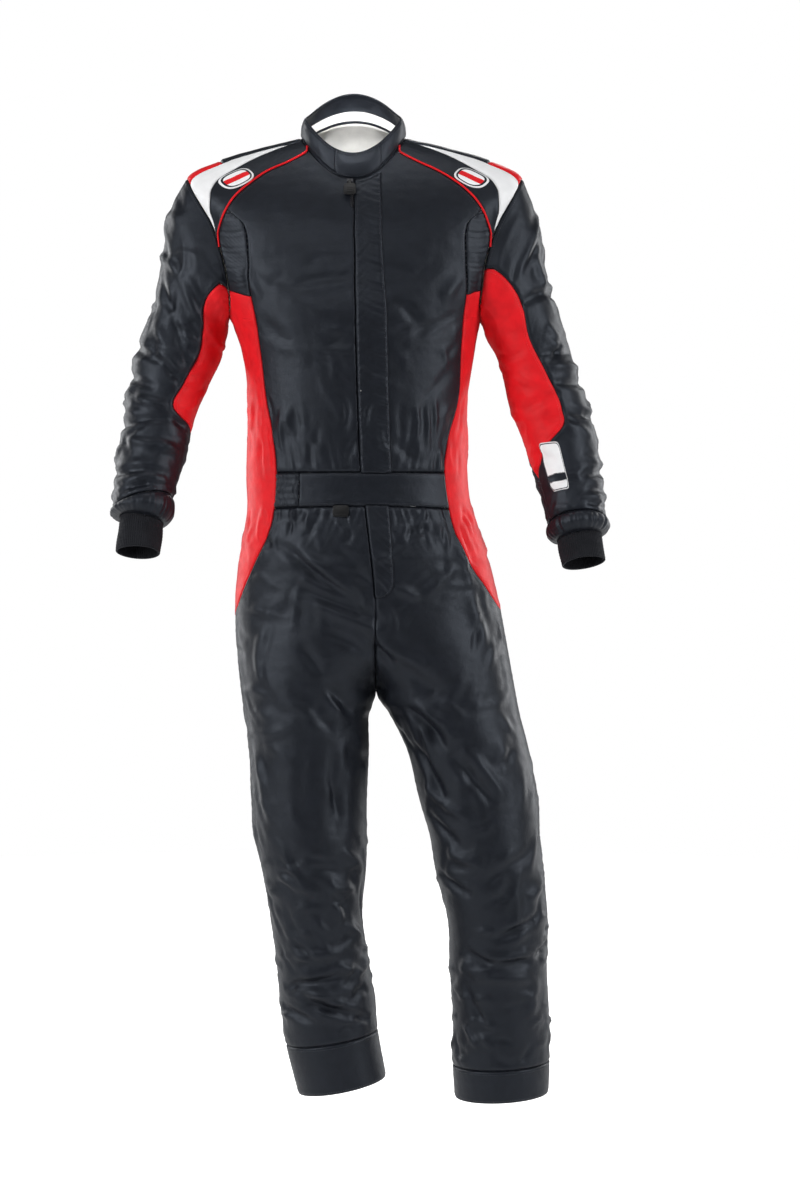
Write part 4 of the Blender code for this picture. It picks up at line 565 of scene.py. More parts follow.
# ---------------------------------------------------------------- folds
def fold_paths(surface, folds, behind):
    """Each fold as (points of its path, half width, height), with the ones behind it brings."""
    paths = []
    for side, angle_a, level_a, angle_b, level_b, width, height in zip(*folds.values()):
        angles, levels = np.linspace(angle_a, angle_b, FOLD_STOPS), np.linspace(level_a, level_b, FOLD_STOPS)
        paths.append((surface(int(side), angles, levels), width, height))
        paths.append((surface(int(-side), behind(angles), levels + BACK_DROP), width, height * BACK_SHARE))
    return paths


def fold_height(points, paths):
    """How far the folds move each point out of its surface."""
    height = np.zeros(points.shape[:-1])
    for path, width, high in paths:
        reach = FOLD_REACH * width
        near = np.all((points > path.min(axis=0) - reach) & (points < path.max(axis=0) + reach), axis=-1)
        if not near.any():
            continue
        local = points[near][:, None]
        start, step = path[:-1], np.diff(path, axis=0)
        share = np.clip(np.sum((local - start) * step, axis=-1) / np.sum(step * step, axis=-1), 0, 1)
        apart = np.linalg.norm(local - start - share[..., None] * step, axis=-1)
        nearest = apart.argmin(axis=1)
        rows = np.arange(len(nearest))
        along = (nearest + share[rows, nearest]) / len(step)
        across = apart[rows, nearest] / width
        profile = FOLD_CREST * np.exp(-(across**2)) - FOLD_DIP * np.exp(-((across / FOLD_DIP_WIDTH) ** 2))
        height[near] += high * profile * np.sin(math.pi * np.clip(along, 0, 1)) ** FOLD_TAPER
    return height


def body(side, angle, level):
    """(points, normals) of the folded body surface."""
    points, normals = body_base(side, angle, level), body_normal(side, angle, level)
    return points + normals * fold_height(points, BODY_PATHS)[..., None], normals


BODY_PATHS = fold_paths(body_base, BODY_FOLDS, lambda angles: -angles)


# ---------------------------------------------------------------- armhole and sleeve
def armhole_angle(level):
    """How far from the side line the armhole's edge lies, at a level of the body."""
    share = np.clip((np.asarray(level, float) - SHOULDER_POINT) / (ARMPIT - SHOULDER_POINT), 0, 1)
    return ARMHOLE_ANGLE * np.sin(np.arccos(1 - 2 * share)) ** ARMHOLE_SHAPE


def armhole_place(turn):
    """(angle, level) on the body of each sleeve angle. Angles above 180 are behind."""
    turn = np.asarray(turn, float) % 360
    level = SHOULDER_POINT + (ARMPIT - SHOULDER_POINT) * (1 - np.cos(np.radians(turn))) / 2
    return np.where(turn <= 180, 1, -1) * armhole_angle(level), level


def sleeve_ring(side, turn, level):
    """Points of the plain rings that the sleeve's table gives."""
    row = {name: smooth(SLEEVE[side]["level"], values, level) for name, values in SLEEVE[side].items()}
    cosine, sine = np.cos(np.radians(turn)), np.sin(np.radians(turn))
    x = (row["x_outer"] * (1 + cosine) + row["x_inner"] * (1 - cosine)) / 2
    z = (row["z_outer"] * (1 + cosine) + row["z_inner"] * (1 - cosine)) / 2
    forward = np.where(sine > 0, row["front"], row["back"]) * sine
    return np.stack([x, row["y_middle"] - forward, z + row["lean"] * forward], axis=-1)


def sleeve_base(side, turn, level):
    """The rings, drawn on to the armhole at their upper end."""
    turn, level = np.broadcast_arrays(np.asarray(turn, float), np.asarray(level, float))
    pull = np.stack([np.interp(turn, PULL_TURNS, row, period=360) for row in PULL[side]], axis=-1)
    return sleeve_ring(side, turn, level) + pull * (1 - ease(level / ARMHOLE_PULL))[..., None]


PULL_TURNS = np.linspace(0, 360, 361)
PULL = {
    side: (body(side, *armhole_place(PULL_TURNS))[0] - sleeve_ring(side, PULL_TURNS, np.zeros(361))).T
    for side in (RIGHT, LEFT)
}


def sleeve_normal(side, turn, level):
    turn, level = np.broadcast_arrays(np.asarray(turn, float), np.asarray(level, float))
    inside = np.maximum(level, STEP)
    return probe(lambda a, v: sleeve_base(side, a, v), turn, inside, side)


SLEEVE_PATHS = fold_paths(sleeve_base, SLEEVE_FOLDS, lambda turns: 360 - turns)


# ---------------------------------------------------------------- collar
def rim_point(side, angle):
    turn = np.radians(np.abs(angle))
    front = np.asarray(angle) >= 0
    x = RIM["middle"] + side * RIM["half_width"] * np.cos(turn)
    y = RIM["y_side"] + np.where(front, -RIM["front"], RIM["back"]) * np.sin(turn)
    z = RIM["z_side"] + (np.where(front, RIM["z_front"], RIM["z_back"]) - RIM["z_side"]) * np.sin(turn) ** 2
    return np.stack([x, y, z], axis=-1)


def collar_base(side, angle, height):
    """From the neck seam, height 0, to the rim, height 1."""
    angle, height = np.broadcast_arrays(np.asarray(angle, float), np.asarray(height, float))
    foot, rim = body_base(side, angle, np.zeros_like(angle)), rim_point(side, angle)
    swell = COLLAR_SWELL * np.sin(np.pi * np.clip(height, 0, 1))[..., None]
    outward = unit((foot + rim) / 2 * np.array([1, 1, 0]))
    return foot + (rim - foot) * height[..., None] + outward * swell


def collar_normal(side, angle, height):
    return -probe(lambda a, v: collar_base(side, a, v), angle, height, side)


# ---------------------------------------------------------------- seam lines on the body
def seam_angle(side, level, line):
    """Where a line given as x at a height crosses a level, in degrees round the front."""
    angles = np.linspace(0, 90, 361)
    points = body_base(side, angles, np.full_like(angles, level))
    x_line = smooth(line["z"], line[SIDE_WORD[side]], points[:, 2])
    outside = side * (points[:, 0] - x_line)
    crossing = np.nonzero((outside[:-1] > 0) & (outside[1:] <= 0))[0]
    if len(crossing) == 0:
        return 0.0
    i = crossing[0]
    return float(angles[i] + (angles[i + 1] - angles[i]) * outside[i] / (outside[i] - outside[i + 1]))


def strap_angle(level):
    """Edge of the shoulder strap."""
    if level > SHOULDER_POINT:
        return float(armhole_angle(level))
    width = smooth(STRAP_HALF_WIDTH["level"], STRAP_HALF_WIDTH["width"], level)
    return float(np.degrees(np.arcsin(width / smooth(TRUNK["level"], TRUNK["front"], level))))


def white_angle(side, level):
    """Inner edge of the white panel."""
    if level <= WHITE_START:
        return strap_angle(level)
    if level >= WHITE_END:
        return float(armhole_angle(level))
    stripe = math.degrees(WHITE_STRIPE / smooth(TRUNK["level"], TRUNK["front"], level))
    return max(strap_angle(level) + stripe, seam_angle(side, level, WHITE_LINE))


def piping_angle(side, level):
    return float(armhole_angle(level)) if level >= PIPING_END else seam_angle(side, level, PIPING_LINE)


def front_edge_angle(side, level):
    """Outer edge of the front panel: the piping, then the gathered strip, then the side gusset."""
    if level <= SHOULDER_POINT:
        return piping_angle(side, level)
    if level >= HIP_TIP:
        return 0.0
    return seam_angle(side, level, GUSSET_LINE)


def back_edge_angle(side, level):
    """Outer edge of the back. Below the yoke it mirrors the front of the other side."""
    if level < GUSSET_TOP:
        return -white_angle(side, level)
    return -front_edge_angle(-side, level)


def width_angle(level, width):
    """Where the front is a given width from the middle line."""
    half = smooth(TRUNK["level"], TRUNK["left"] - TRUNK["middle"], level)
    return float(np.degrees(np.arccos(width / half)))


# ---------------------------------------------------------------- edges, as functions of (side, level)
def straight(edge, *spans):
    """An edge that runs straight across the given spans of levels."""

    def drawn(side, v):
        for low, high in spans:
            if low < v < high:
                share = (v - low) / (high - low)
                return edge(side, low) * (1 - share) + edge(side, high) * share
        return edge(side, v)

    return drawn


def mirrored(edge):
    return lambda side, v: -edge(side, v)


STRAP_EDGE = straight(lambda side, v: strap_angle(v), (SHOULDER_POINT, TIP_LEVEL))
WHITE_EDGE = straight(white_angle, (WHITE_START, 1.0), (4.6, WHITE_END))
PIPING_EDGE = straight(piping_angle, (WHITE_END, PIPING_END))
FRONT_EDGE = straight(front_edge_angle, (SHOULDER_POINT, TIP_LEVEL))
BACK_EDGE = straight(back_edge_angle, (GUSSET_BACK_TOP, GUSSET_TOP))


def side_line(side, v):
    return 0.0


def armhole_edge(side, v):
    return float(armhole_angle(v))


def middle_edge(side, v):
    """The middle line in front, and the inseam below the crotch."""
    return float(end_angle(1.0, v))


def back_middle_edge(side, v):
    return -float(end_angle(-1.0, v))


def flap_edge(side, v):
    """Sewn edge of the flap over the zip."""
    return width_angle(v, FLAP_WIDTH)


def fly_edge(side, v):
    """Sewn edge of the fly, which curves in to the middle at its foot."""
    width = smooth(FLY_WIDTH["level"], FLY_WIDTH["width"], v)
    foot = np.clip((v - (FLY_BOTTOM - FLY_CURVE)) / FLY_CURVE, 0, 1)
    return width_angle(v, width * max(1 - foot**2, 0.02) ** 0.5)


# ---------------------------------------------------------------- small folds, scattered over regions
def scatter(regions, surface, degree_mm, level_mm):
    """Paths of small folds, as fold_paths gives them, spread at random over each region."""
    paths = []
    for row, values in enumerate(zip(*regions.values())):
        region = dict(zip(regions, values))
        random = np.random.default_rng(row + int(1000 * degree_mm))
        for side in (RIGHT, LEFT):
            for _ in range(int(region["count"])):
                angle = random.uniform(region["angle_a"], region["angle_b"])
                level = random.uniform(region["level_a"], region["level_b"])
                slant = math.radians(region["slant"] + random.normal() * region["spread"])
                length = region["length"] * random.uniform(0.6, 1.5)
                t = np.linspace(-0.5, 0.5, 5)
                bow = random.uniform(-0.16, 0.16) * length * (1 - 4 * t * t)
                across = length * t * math.cos(slant) - bow * math.sin(slant)
                down = length * t * math.sin(slant) + bow * math.cos(slant)
                path = surface(side, angle + across / degree_mm, level + down / level_mm)
                width = region["width"] * random.uniform(0.7, 1.35)
                sign = 1 if random.uniform() < 0.6 else -1
                paths.append((path, width, sign * region["height"] * random.uniform(0.5, 1.4)))
    return paths


def ripple(points):
    """The unevenness of the cloth itself: waves in all directions."""
    random = np.random.default_rng(5)
    height = np.zeros(points.shape[:-1])
    for _ in range(RIPPLE_WAVES):
        direction = unit(random.normal(size=3))
        length = random.uniform(*RIPPLE_LENGTHS)
        height += np.sin(points @ direction * (2 * math.pi / length) + random.uniform(0, 2 * math.pi))
    return height * RIPPLE_HEIGHT / math.sqrt(RIPPLE_WAVES)


SMALL_BODY_FOLDS = scatter(BODY_REGIONS, body_base, BODY_DEGREE, BODY_LEVEL)
SMALL_SLEEVE_FOLDS = scatter(SLEEVE_REGIONS, sleeve_base, SLEEVE_DEGREE, SLEEVE_LEVEL)
GROOVES = [
    (body_base(int(side), np.linspace(a, c, 3), np.linspace(b, d, 3)), width, height)
    for side, a, b, c, d, width, height in zip(*CHEST_SEAM.values())
]
FOLDS = {  # of each surface: large and small
    "body": (BODY_PATHS, SMALL_BODY_FOLDS),
    "sleeve": (SLEEVE_PATHS, SMALL_SLEEVE_FOLDS),
    "collar": ([], []),
}


def nearby(paths, points):
    """The folds that reach a piece."""
    low, high = points.reshape(-1, 3).min(axis=0), points.reshape(-1, 3).max(axis=0)
    return [
        fold
        for fold in paths
        if np.all(fold[0].max(axis=0) + FOLD_REACH * fold[1] > low)
        and np.all(fold[0].min(axis=0) - FOLD_REACH * fold[1] < high)
    ]


# ---------------------------------------------------------------- stretches of cloth
class Stretch:
    """A fine grid of a surface: rows down the piece, columns across it, in millimetres."""

    def __init__(self, kind, side, angles, levels):
        self.kind, self.side = kind, side
        self.angles, self.levels = np.broadcast_arrays(np.array(angles, float), np.array(levels, float))
        base, normal = SURFACES[kind]
        self.base = base(side, self.angles, self.levels)
        self.normals = normal(side, self.angles, self.levels)
        self.height = np.zeros(self.angles.shape)
        self.stitched = []  # rows of stitches, as (edge, how far in)
        large, small = FOLDS[kind]
        self.large = fold_height(self.base, nearby(large, self.base))
        self.small = fold_height(self.base, nearby(small, self.base)) + ripple(self.base)
        if kind == "sleeve":
            fade = ease(self.levels) * ease((WRIST - self.levels) / 0.5)
            self.large, self.small = self.large * fade, self.small * ease(self.levels / 0.6)
        across = np.linalg.norm(np.diff(self.base, axis=1), axis=-1)
        down = np.linalg.norm(np.diff(self.base, axis=0), axis=-1)
        self.across = np.pad(np.cumsum(across, axis=1), ((0, 0), (1, 0)))
        self.down = np.pad(np.cumsum(down, axis=0), ((1, 0), (0, 0)))

    def distance(self, edge):
        """How far each point is from an edge: first or last column, top or bottom row."""
        return {
            "first": self.across,
            "last": self.across[:, -1:] - self.across,
            "top": self.down,
            "bottom": self.down[-1:] - self.down,
        }[edge]

    def points(self):
        return self.base + self.normals * self.height[..., None]

    def width(self):
        return float(self.across[:, -1].max())

    def length(self):
        return float(np.median(self.down[-1]))

    def area(self):
        cells = np.diff(self.across, axis=1)[:-1] * np.diff(self.down, axis=0)[:, :-1]
        return float(cells.sum())


SURFACES = {
    "body": (body_base, body_normal),
    "sleeve": (sleeve_base, sleeve_normal),
    "collar": (collar_base, collar_normal),
}


def even_levels(kind, side, first, last, start, end, cell=CELL):
    """Levels from start to end whose rows lie a cell apart on the middle of the piece."""
    probes = np.linspace(start, end, 60)
    middle = np.array([(first(side, v) + last(side, v)) / 2 for v in probes])
    points = SURFACES[kind][0](side, middle, probes)
    length = np.concatenate([[0], np.cumsum(np.linalg.norm(np.diff(points, axis=0), axis=1))])
    count = max(2, math.ceil(length[-1] / cell))
    return np.interp(np.linspace(0, length[-1], count + 1), length, probes)


def column_stops(kind, side, first, last, levels, cell=CELL):
    """Shares of the width, closer together near the seams."""
    some = levels[:: max(1, len(levels) // 12)]
    angles = np.array([np.linspace(first(side, v), last(side, v), 12) for v in some])
    points = SURFACES[kind][0](side, angles, some[:, None])
    width = np.linalg.norm(np.diff(points, axis=1), axis=-1).sum(axis=1).max()
    t = np.linspace(0, 1, max(4, math.ceil(width / cell)) + 1)
    return 0.7 * t + 0.3 * (1 - np.cos(math.pi * t)) / 2


def stretch(kind, side, first, last, levels, stops):
    """A stretch between two edges."""
    edges = np.array([(first(side, v), last(side, v)) for v in levels])
    angles = edges[:, :1] + (edges[:, 1:] - edges[:, :1]) * stops
    return Stretch(kind, side, angles, np.array(levels)[:, None])


def panel(kind, side, first, last, start, end, cell=CELL):
    levels = even_levels(kind, side, first, last, start, end, cell)
    return stretch(kind, side, first, last, levels, column_stops(kind, side, first, last, levels, cell))


# ---------------------------------------------------------------- relief of seams and gathers
def wobble(s, length, seed):
    """An uneven wave of about the given length, between -1 and 1."""
    random = np.random.default_rng(seed)
    phases = random.uniform(0, 2 * math.pi, 3)
    waves = [(0.55, 1.0), (0.3, 1.43), (0.25, 0.71)]
    return sum(
        share * np.sin(2 * math.pi * s / (length * longer) + phase)
        for (share, longer), phase in zip(waves, phases)
    )


def sew(cloth, **seams):
    """Lays the folds, seams, stitch lines and puckers on a stretch. seams gives each edge its style."""
    nearest = np.full(cloth.angles.shape, 1e3)
    relief = np.zeros(cloth.angles.shape)
    for edge, name in seams.items():
        style = SEAMS[name]
        away = cloth.distance(edge)
        along = cloth.down if edge in ("first", "last") else cloth.across
        nearest = np.minimum(nearest, away)
        seed = zlib.crc32(f"{cloth.kind}{cloth.side}{edge}{cloth.levels[0, 0]:.2f}".encode())
        relief -= style["depth"] * np.exp(-((away / style["roll"]) ** 2))
        relief += style["puff"] * np.exp(-(((away - 3 * style["roll"]) / (1.6 * style["roll"])) ** 2))
        for offset in style["stitches"]:
            relief -= STITCH_DEPTH * np.exp(-(((away - offset) / STITCH_VALLEY) ** 2))
        wave = wobble(along + style["slant"] * away, style["wave"], seed)
        grown = 1 - np.exp(-((away / 2.0) ** 2))
        if edge in ("top", "bottom"):
            ends = np.minimum(cloth.distance("first"), cloth.distance("last"))
            grown = grown * (1 - np.exp(-((ends / END_QUIET) ** 2)))
        relief += style["pucker"] * wave * grown * np.exp(-away / style["reach"])
        cloth.stitched += [(edge, offset) for offset in style["stitches"]]
    mask = 1 - np.exp(-((nearest / SEAM_QUIET) ** 2))
    cloth.height = cloth.height + cloth.large + cloth.small * mask + relief
    return cloth


# ---------------------------------------------------------------- meshes
def looks_out(points, normals):
    down = points[1:, :-1] - points[:-1, :-1]
    across = points[:-1, 1:] - points[:-1, :-1]
    return np.sum(np.cross(down, across) * normals[:-1, :-1]) > 0


def grid_faces(shape, start, forward, closed=False):
    """Quads of a grid whose points are numbered row by row."""
    rows, columns = shape
    number = start + np.arange(rows * columns).reshape(rows, columns)
    if closed:
        number = np.concatenate([number, number[:, :1]], axis=1)
    corners = [number[:-1, :-1], number[1:, :-1], number[1:, 1:], number[:-1, 1:]]
    quads = np.stack(corners, axis=-1).reshape(-1, 4)
    return (quads if forward else quads[:, ::-1]).tolist()


def placed(name, data):
    """A new object in the scene."""
    made = bpy.data.objects.new(name, data)
    bpy.context.scene.collection.objects.link(made)
    return made


def mesh_of(name, points, faces, looks, slots=None):
    """An object from points in millimetres, shaded smooth, in the given looks."""
    mesh = bpy.data.meshes.new(name)
    mesh.from_pydata((np.asarray(points) * MM).tolist(), [], faces)
    for look in looks:
        mesh.materials.append(CLOTH[look])
    if slots is not None:
        mesh.polygons.foreach_set("material_index", slots)
    mesh.shade_smooth()
    return placed(name, mesh)


def face_outward(made):
    """Turns the faces of a closed mesh outward."""
    mesh = bmesh.new()
    mesh.from_mesh(made.data)
    bmesh.ops.recalc_face_normals(mesh, faces=mesh.faces)
    mesh.to_mesh(made.data)
    mesh.free()


def thicken(made, thickness, **settings):
    """Gives a sheet its thickness, inward from its face."""
    solid = made.modifiers.new("thickness", "SOLIDIFY")
    solid.thickness, solid.offset = thickness * MM, -1
    for name, value in settings.items():
        setattr(solid, name, value)


def declare(made, node=None, body="suit"):
    """Ties a piece to its body and hides the solid that it stands for."""
    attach(made, body)
    if node:
        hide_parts(node)


def weld(made, distance=0.03):
    """Joins points that lie together, as where two stretches of a piece meet."""
    mesh = bmesh.new()
    mesh.from_mesh(made.data)
    bmesh.ops.remove_doubles(mesh, verts=mesh.verts, dist=distance * MM)
    bmesh.ops.dissolve_degenerate(mesh, edges=mesh.edges, dist=distance * MM / 10)
    mesh.to_mesh(made.data)
    mesh.free()


def cloth_piece(node, stretches, outer, inner="lining", thickness=SHELL, lined_rows=None):
    """A panel with its thickness and stitching, in place of its solid.

    lined_rows is a range of rows that have the lining inside where the rest has another cloth.
    """
    points, faces, slots, start = [], [], [], 0
    for cloth in stretches:
        grid = cloth.points()
        faces += grid_faces(grid.shape[:2], start, looks_out(grid, cloth.normals))
        rows = np.zeros((grid.shape[0] - 1, grid.shape[1] - 1), int)
        if lined_rows:
            rows[lined_rows] = 2  # outer in front, lining behind
        slots.append(rows.ravel())
        points.append(grid.reshape(-1, 3))
        start += grid.shape[0] * grid.shape[1]
    looks = [outer, inner, outer, "lining"]
    made = mesh_of(f"cloth_{node}", np.concatenate(points), faces, looks, np.concatenate(slots))
    weld(made)
    thicken(made, thickness, material_offset=1, use_quality_normals=True)
    declare(made, node)
    area = sum(cloth.area() for cloth in stretches)
    wide = max(sum(c.width() for c in stretches if c.levels[0, 0] == s.levels[0, 0]) for s in stretches)
    long = max(area / wide, max(cloth.length() for cloth in stretches))
    for cloth in stretches:
        stitch_lines(cloth, outer)


# ---------------------------------------------------------------- stitching
THREADS = {}  # colour: (points, faces)


def sew_line(line, normals, color):
    """Stitches along a line of points that lies on the cloth."""
    points, faces = THREADS.setdefault(color, ([], []))
    steps = np.linalg.norm(np.diff(line, axis=0), axis=1)
    along = np.concatenate([[0], np.cumsum(steps)])

    def at(distance, rows):
        return np.array([np.interp(distance, along, column) for column in rows.T])

    stop = STITCH_PITCH
    while stop + STITCH_LENGTH < along[-1] - 1:
        first, last = at(stop, line), at(stop + STITCH_LENGTH, line)
        normal = unit(at(stop, normals))
        ahead = last - first
        aside = unit(np.cross(normal, ahead)) * STITCH_WIDTH / 2
        sunk, top = -normal * STITCH_SINK, normal * STITCH_HEIGHT
        inner = [first + ahead * 0.2, first + ahead * 0.8]
        start = len(points)
        points += [first + sunk, inner[0] + aside, inner[0] + top, inner[0] - aside]
        points += [inner[1] + aside, inner[1] + top, inner[1] - aside, last + sunk]
        faces += [tuple(start + corner for corner in face[::-1]) for face in STITCH_FACES]
        stop += STITCH_PITCH


def stitch_lines(cloth, color):
    """The rows of stitches that run along a piece's edges."""
    for edge, offset in cloth.stitched:
        grids = [cloth.distance(edge), cloth.points(), cloth.normals]
        if edge in ("top", "bottom"):
            grids = [np.swapaxes(grid, 0, 1) for grid in grids]
        if edge in ("last", "bottom"):
            grids = [grid[:, ::-1] for grid in grids]
        run = []
        for away, line, normals in zip(*grids):
            if away.max() >= 2 * offset:
                columns = [*line.T, *normals.T]
                run.append([np.interp(offset, away, column) for column in columns])
        if len(run) > 3:
            run = np.array(run)
            sew_line(run[:, :3], run[:, 3:], color)


# ---------------------------------------------------------------- materials
def principled(name, color, roughness, **sockets):
    """A material with its principled shader, ready for a finish."""
    made = bpy.data.materials.new(name)
    made.use_nodes = True
    shader = made.node_tree.nodes["Principled BSDF"]
    shader.inputs["Base Color"].default_value = (*color, 1)
    shader.inputs["Roughness"].default_value = roughness
    for socket, value in sockets.items():
        shader.inputs[socket.replace("_", " ")].default_value = value
    return made, made.node_tree, shader


def noise(tree, vector, look):
    """Height of an uneven surface, as (output, strength, millimetres), from one row of the looks below."""
    scale, detail, strength, height = look
    made = tree.nodes.new("ShaderNodeTexNoise")
    made.inputs["Scale"].default_value, made.inputs["Detail"].default_value = scale, detail
    tree.links.new(vector, made.inputs["Vector"])
    return made.outputs["Fac"], strength, height


def shaded(tree, shader, color, vector, scale, low, high):
    """Uneven colour: the surface is a little darker and lighter in patches."""
    patches = noise(tree, vector, (scale, SHADE_DETAIL, 0, 0))[0]
    ramp = tree.nodes.new("ShaderNodeValToRGB")
    for stop, place, share in zip(ramp.color_ramp.elements, SHADE_STOPS, (low, high)):
        stop.position = place
        stop.color = (*(min(c * share, 1) for c in color), 1)
    tree.links.new(patches, ramp.inputs["Fac"])
    tree.links.new(ramp.outputs["Color"], shader.inputs["Base Color"])


def object_place(tree):
    return tree.nodes.new("ShaderNodeTexCoord").outputs["Object"]


def bumped(tree, shader, heights):
    """Bumps from several (output, strength, distance in millimetres), one on the other."""
    before = None
    for output, strength, distance in heights:
        bump = tree.nodes.new("ShaderNodeBump")
        bump.inputs["Strength"].default_value, bump.inputs["Distance"].default_value = strength, distance * MM
        tree.links.new(output, bump.inputs["Height"])
        if before:
            tree.links.new(before.outputs["Normal"], bump.inputs["Normal"])
        before = bump
    tree.links.new(before.outputs["Normal"], shader.inputs["Normal"])


def twill(tree, vector):
    """A diagonal weave: the heights of its two sets of threads."""
    waves = []
    for turn in WEAVE_TURNS:
        place = tree.nodes.new("ShaderNodeMapping")
        place.inputs["Rotation"].default_value = turn
        tree.links.new(vector, place.inputs["Vector"])
        wave = tree.nodes.new("ShaderNodeTexWave")
        wave.inputs["Scale"].default_value = 2 * math.pi / (20 * WEAVE_PITCH * MM)
        wave.inputs["Distortion"].default_value = WEAVE_UNEVEN
        wave.inputs["Detail"].default_value = 1.0
        tree.links.new(place.outputs["Vector"], wave.inputs["Vector"])
        waves.append(wave.outputs["Fac"])
    return waves


def cloth_material(name, color, roughness, sheen, tint, low, high, weave, specular):
    """Closely woven cloth with a soft sheen."""
    made, tree, shader = principled(
        name,
        color,
        roughness,
        Sheen_Weight=sheen,
        Sheen_Roughness=SHEEN_ROUGHNESS,
        Sheen_Tint=(*tint, 1),
        Specular_IOR_Level=specular,
        Specular_Tint=(*tint, 1),
    )
    vector = object_place(tree)
    shaded(tree, shader, color, vector, CLOTH_SHADE, low, high)
    threads = [(output, weave, WEAVE_HEIGHT) for output in twill(tree, vector)]
    slubs, crumple = noise(tree, vector, SLUBS), noise(tree, vector, CRUMPLE)
    bumped(tree, shader, [crumple, slubs, *threads])
    dull = tree.nodes.new("ShaderNodeMapRange")
    dull.inputs["To Min"].default_value = roughness - DULL_SPAN[0]
    dull.inputs["To Max"].default_value = roughness + DULL_SPAN[1]
    tree.links.new(crumple[0], dull.inputs["Value"])
    tree.links.new(dull.outputs["Result"], shader.inputs["Roughness"])
    return made


def plastic_material(name, color, roughness):
    """Moulded rubber, with a fine grain."""
    made, tree, shader = principled(name, color, roughness, Specular_IOR_Level=0.25)
    vector = object_place(tree)
    shaded(tree, shader, color, vector, 300, 0.85, 1.3)
    bumped(tree, shader, [noise(tree, vector, RUBBER_GRAIN)])
    return made


def metal_material(name, color, roughness):
    """Enamelled metal, a little worn."""
    made, tree, shader = principled(name, color, roughness, Metallic=0.85)
    vector = object_place(tree)
    shaded(tree, shader, color, vector, 500, 0.8, 1.5)
    bumped(tree, shader, [noise(tree, vector, METAL_GRAIN)])
    return made


# Looks of uneven surfaces: scale and detail of the noise, strength of the bump and its height.
CRUMPLE = (130, 5.0, 0.65, 0.5)
SLUBS = (420, 3.0, 0.4, 0.16)
RUBBER_GRAIN = (700, 3.0, 0.25, 0.1)
METAL_GRAIN = (900, 2.0, 0.15, 0.05)
SHADE_STOPS, SHADE_DETAIL, CLOTH_SHADE = (0.3, 0.72), 4.0, 55
WEAVE_PITCH, WEAVE_HEIGHT, WEAVE_UNEVEN = 0.7, 0.12, 0.6
WEAVE_TURNS = ((0.0, 0.0, 0.6), (0.9, 0.0, -0.5))  # how each set of threads lies, in radians
SHEEN_ROUGHNESS, DULL_SPAN = 0.45, (0.07, 0.09)
COOL, PALE_COOL, PLAIN = (0.77, 0.86, 1.0), (0.8, 0.85, 1.0), (1, 1, 1)  # tints of the cloth's shine
# Each cloth: name, colour, roughness, sheen, tint, its darkest and lightest patches as shares of the
# colour, strength of the weave, and shine.
CLOTH_LOOKS = {
    "black": ("black_cloth_woven", (0.0034, 0.0040, 0.0064), 0.44, 0.012, COOL, 0.8, 1.25, 0.22, 0.33),
    "red": ("red_cloth_woven", (0.62, 0.0065, 0.0115), 0.5, 0.06, (1.0, 0.5, 0.5), 0.88, 1.1, 0.22, 0.3),
    "white": ("white_cloth_woven", (0.76, 0.765, 0.775), 0.5, 0.1, PLAIN, 0.95, 1.04, 0.22, 0.5),
    "lining": ("lining_knitted", (0.84, 0.83, 0.8), 0.85, 0.3, PLAIN, 0.92, 1.06, 0.3, 0.25),
    "knit": ("rib_knit", (0.0065, 0.0065, 0.0075), 0.75, 0.05, PALE_COOL, 0.8, 1.3, 0.35, 0.2),
    "elastic": ("elastic_band", (0.0036, 0.0042, 0.0064), 0.46, 0.02, COOL, 0.8, 1.3, 0.3, 0.33),
    "thread_black": ("thread_black", (0.02, 0.021, 0.026), 0.5, 0.05, PALE_COOL, 0.8, 1.25, 0.22, 0.5),
    "thread_red": ("thread_red", (0.6, 0.015, 0.022), 0.5, 0.1, (1, 0.7, 0.7), 0.8, 1.25, 0.22, 0.5),
    "thread_white": ("thread_white", (0.8, 0.8, 0.81), 0.5, 0.3, PLAIN, 0.8, 1.25, 0.22, 0.5),
}
CLOTH = {look: cloth_material(*values) for look, values in CLOTH_LOOKS.items()}
CLOTH["rubber"] = plastic_material("moulded_rubber", (0.0055, 0.0055, 0.006), 0.42)
CLOTH["metal"] = metal_material("enamelled_metal", (0.03, 0.03, 0.033), 0.34)
# ---------------------------------------------------------------- pieces of the shoulders
def side_name(name, side):
    return f"{name}_{SIDE_WORD[side]}"


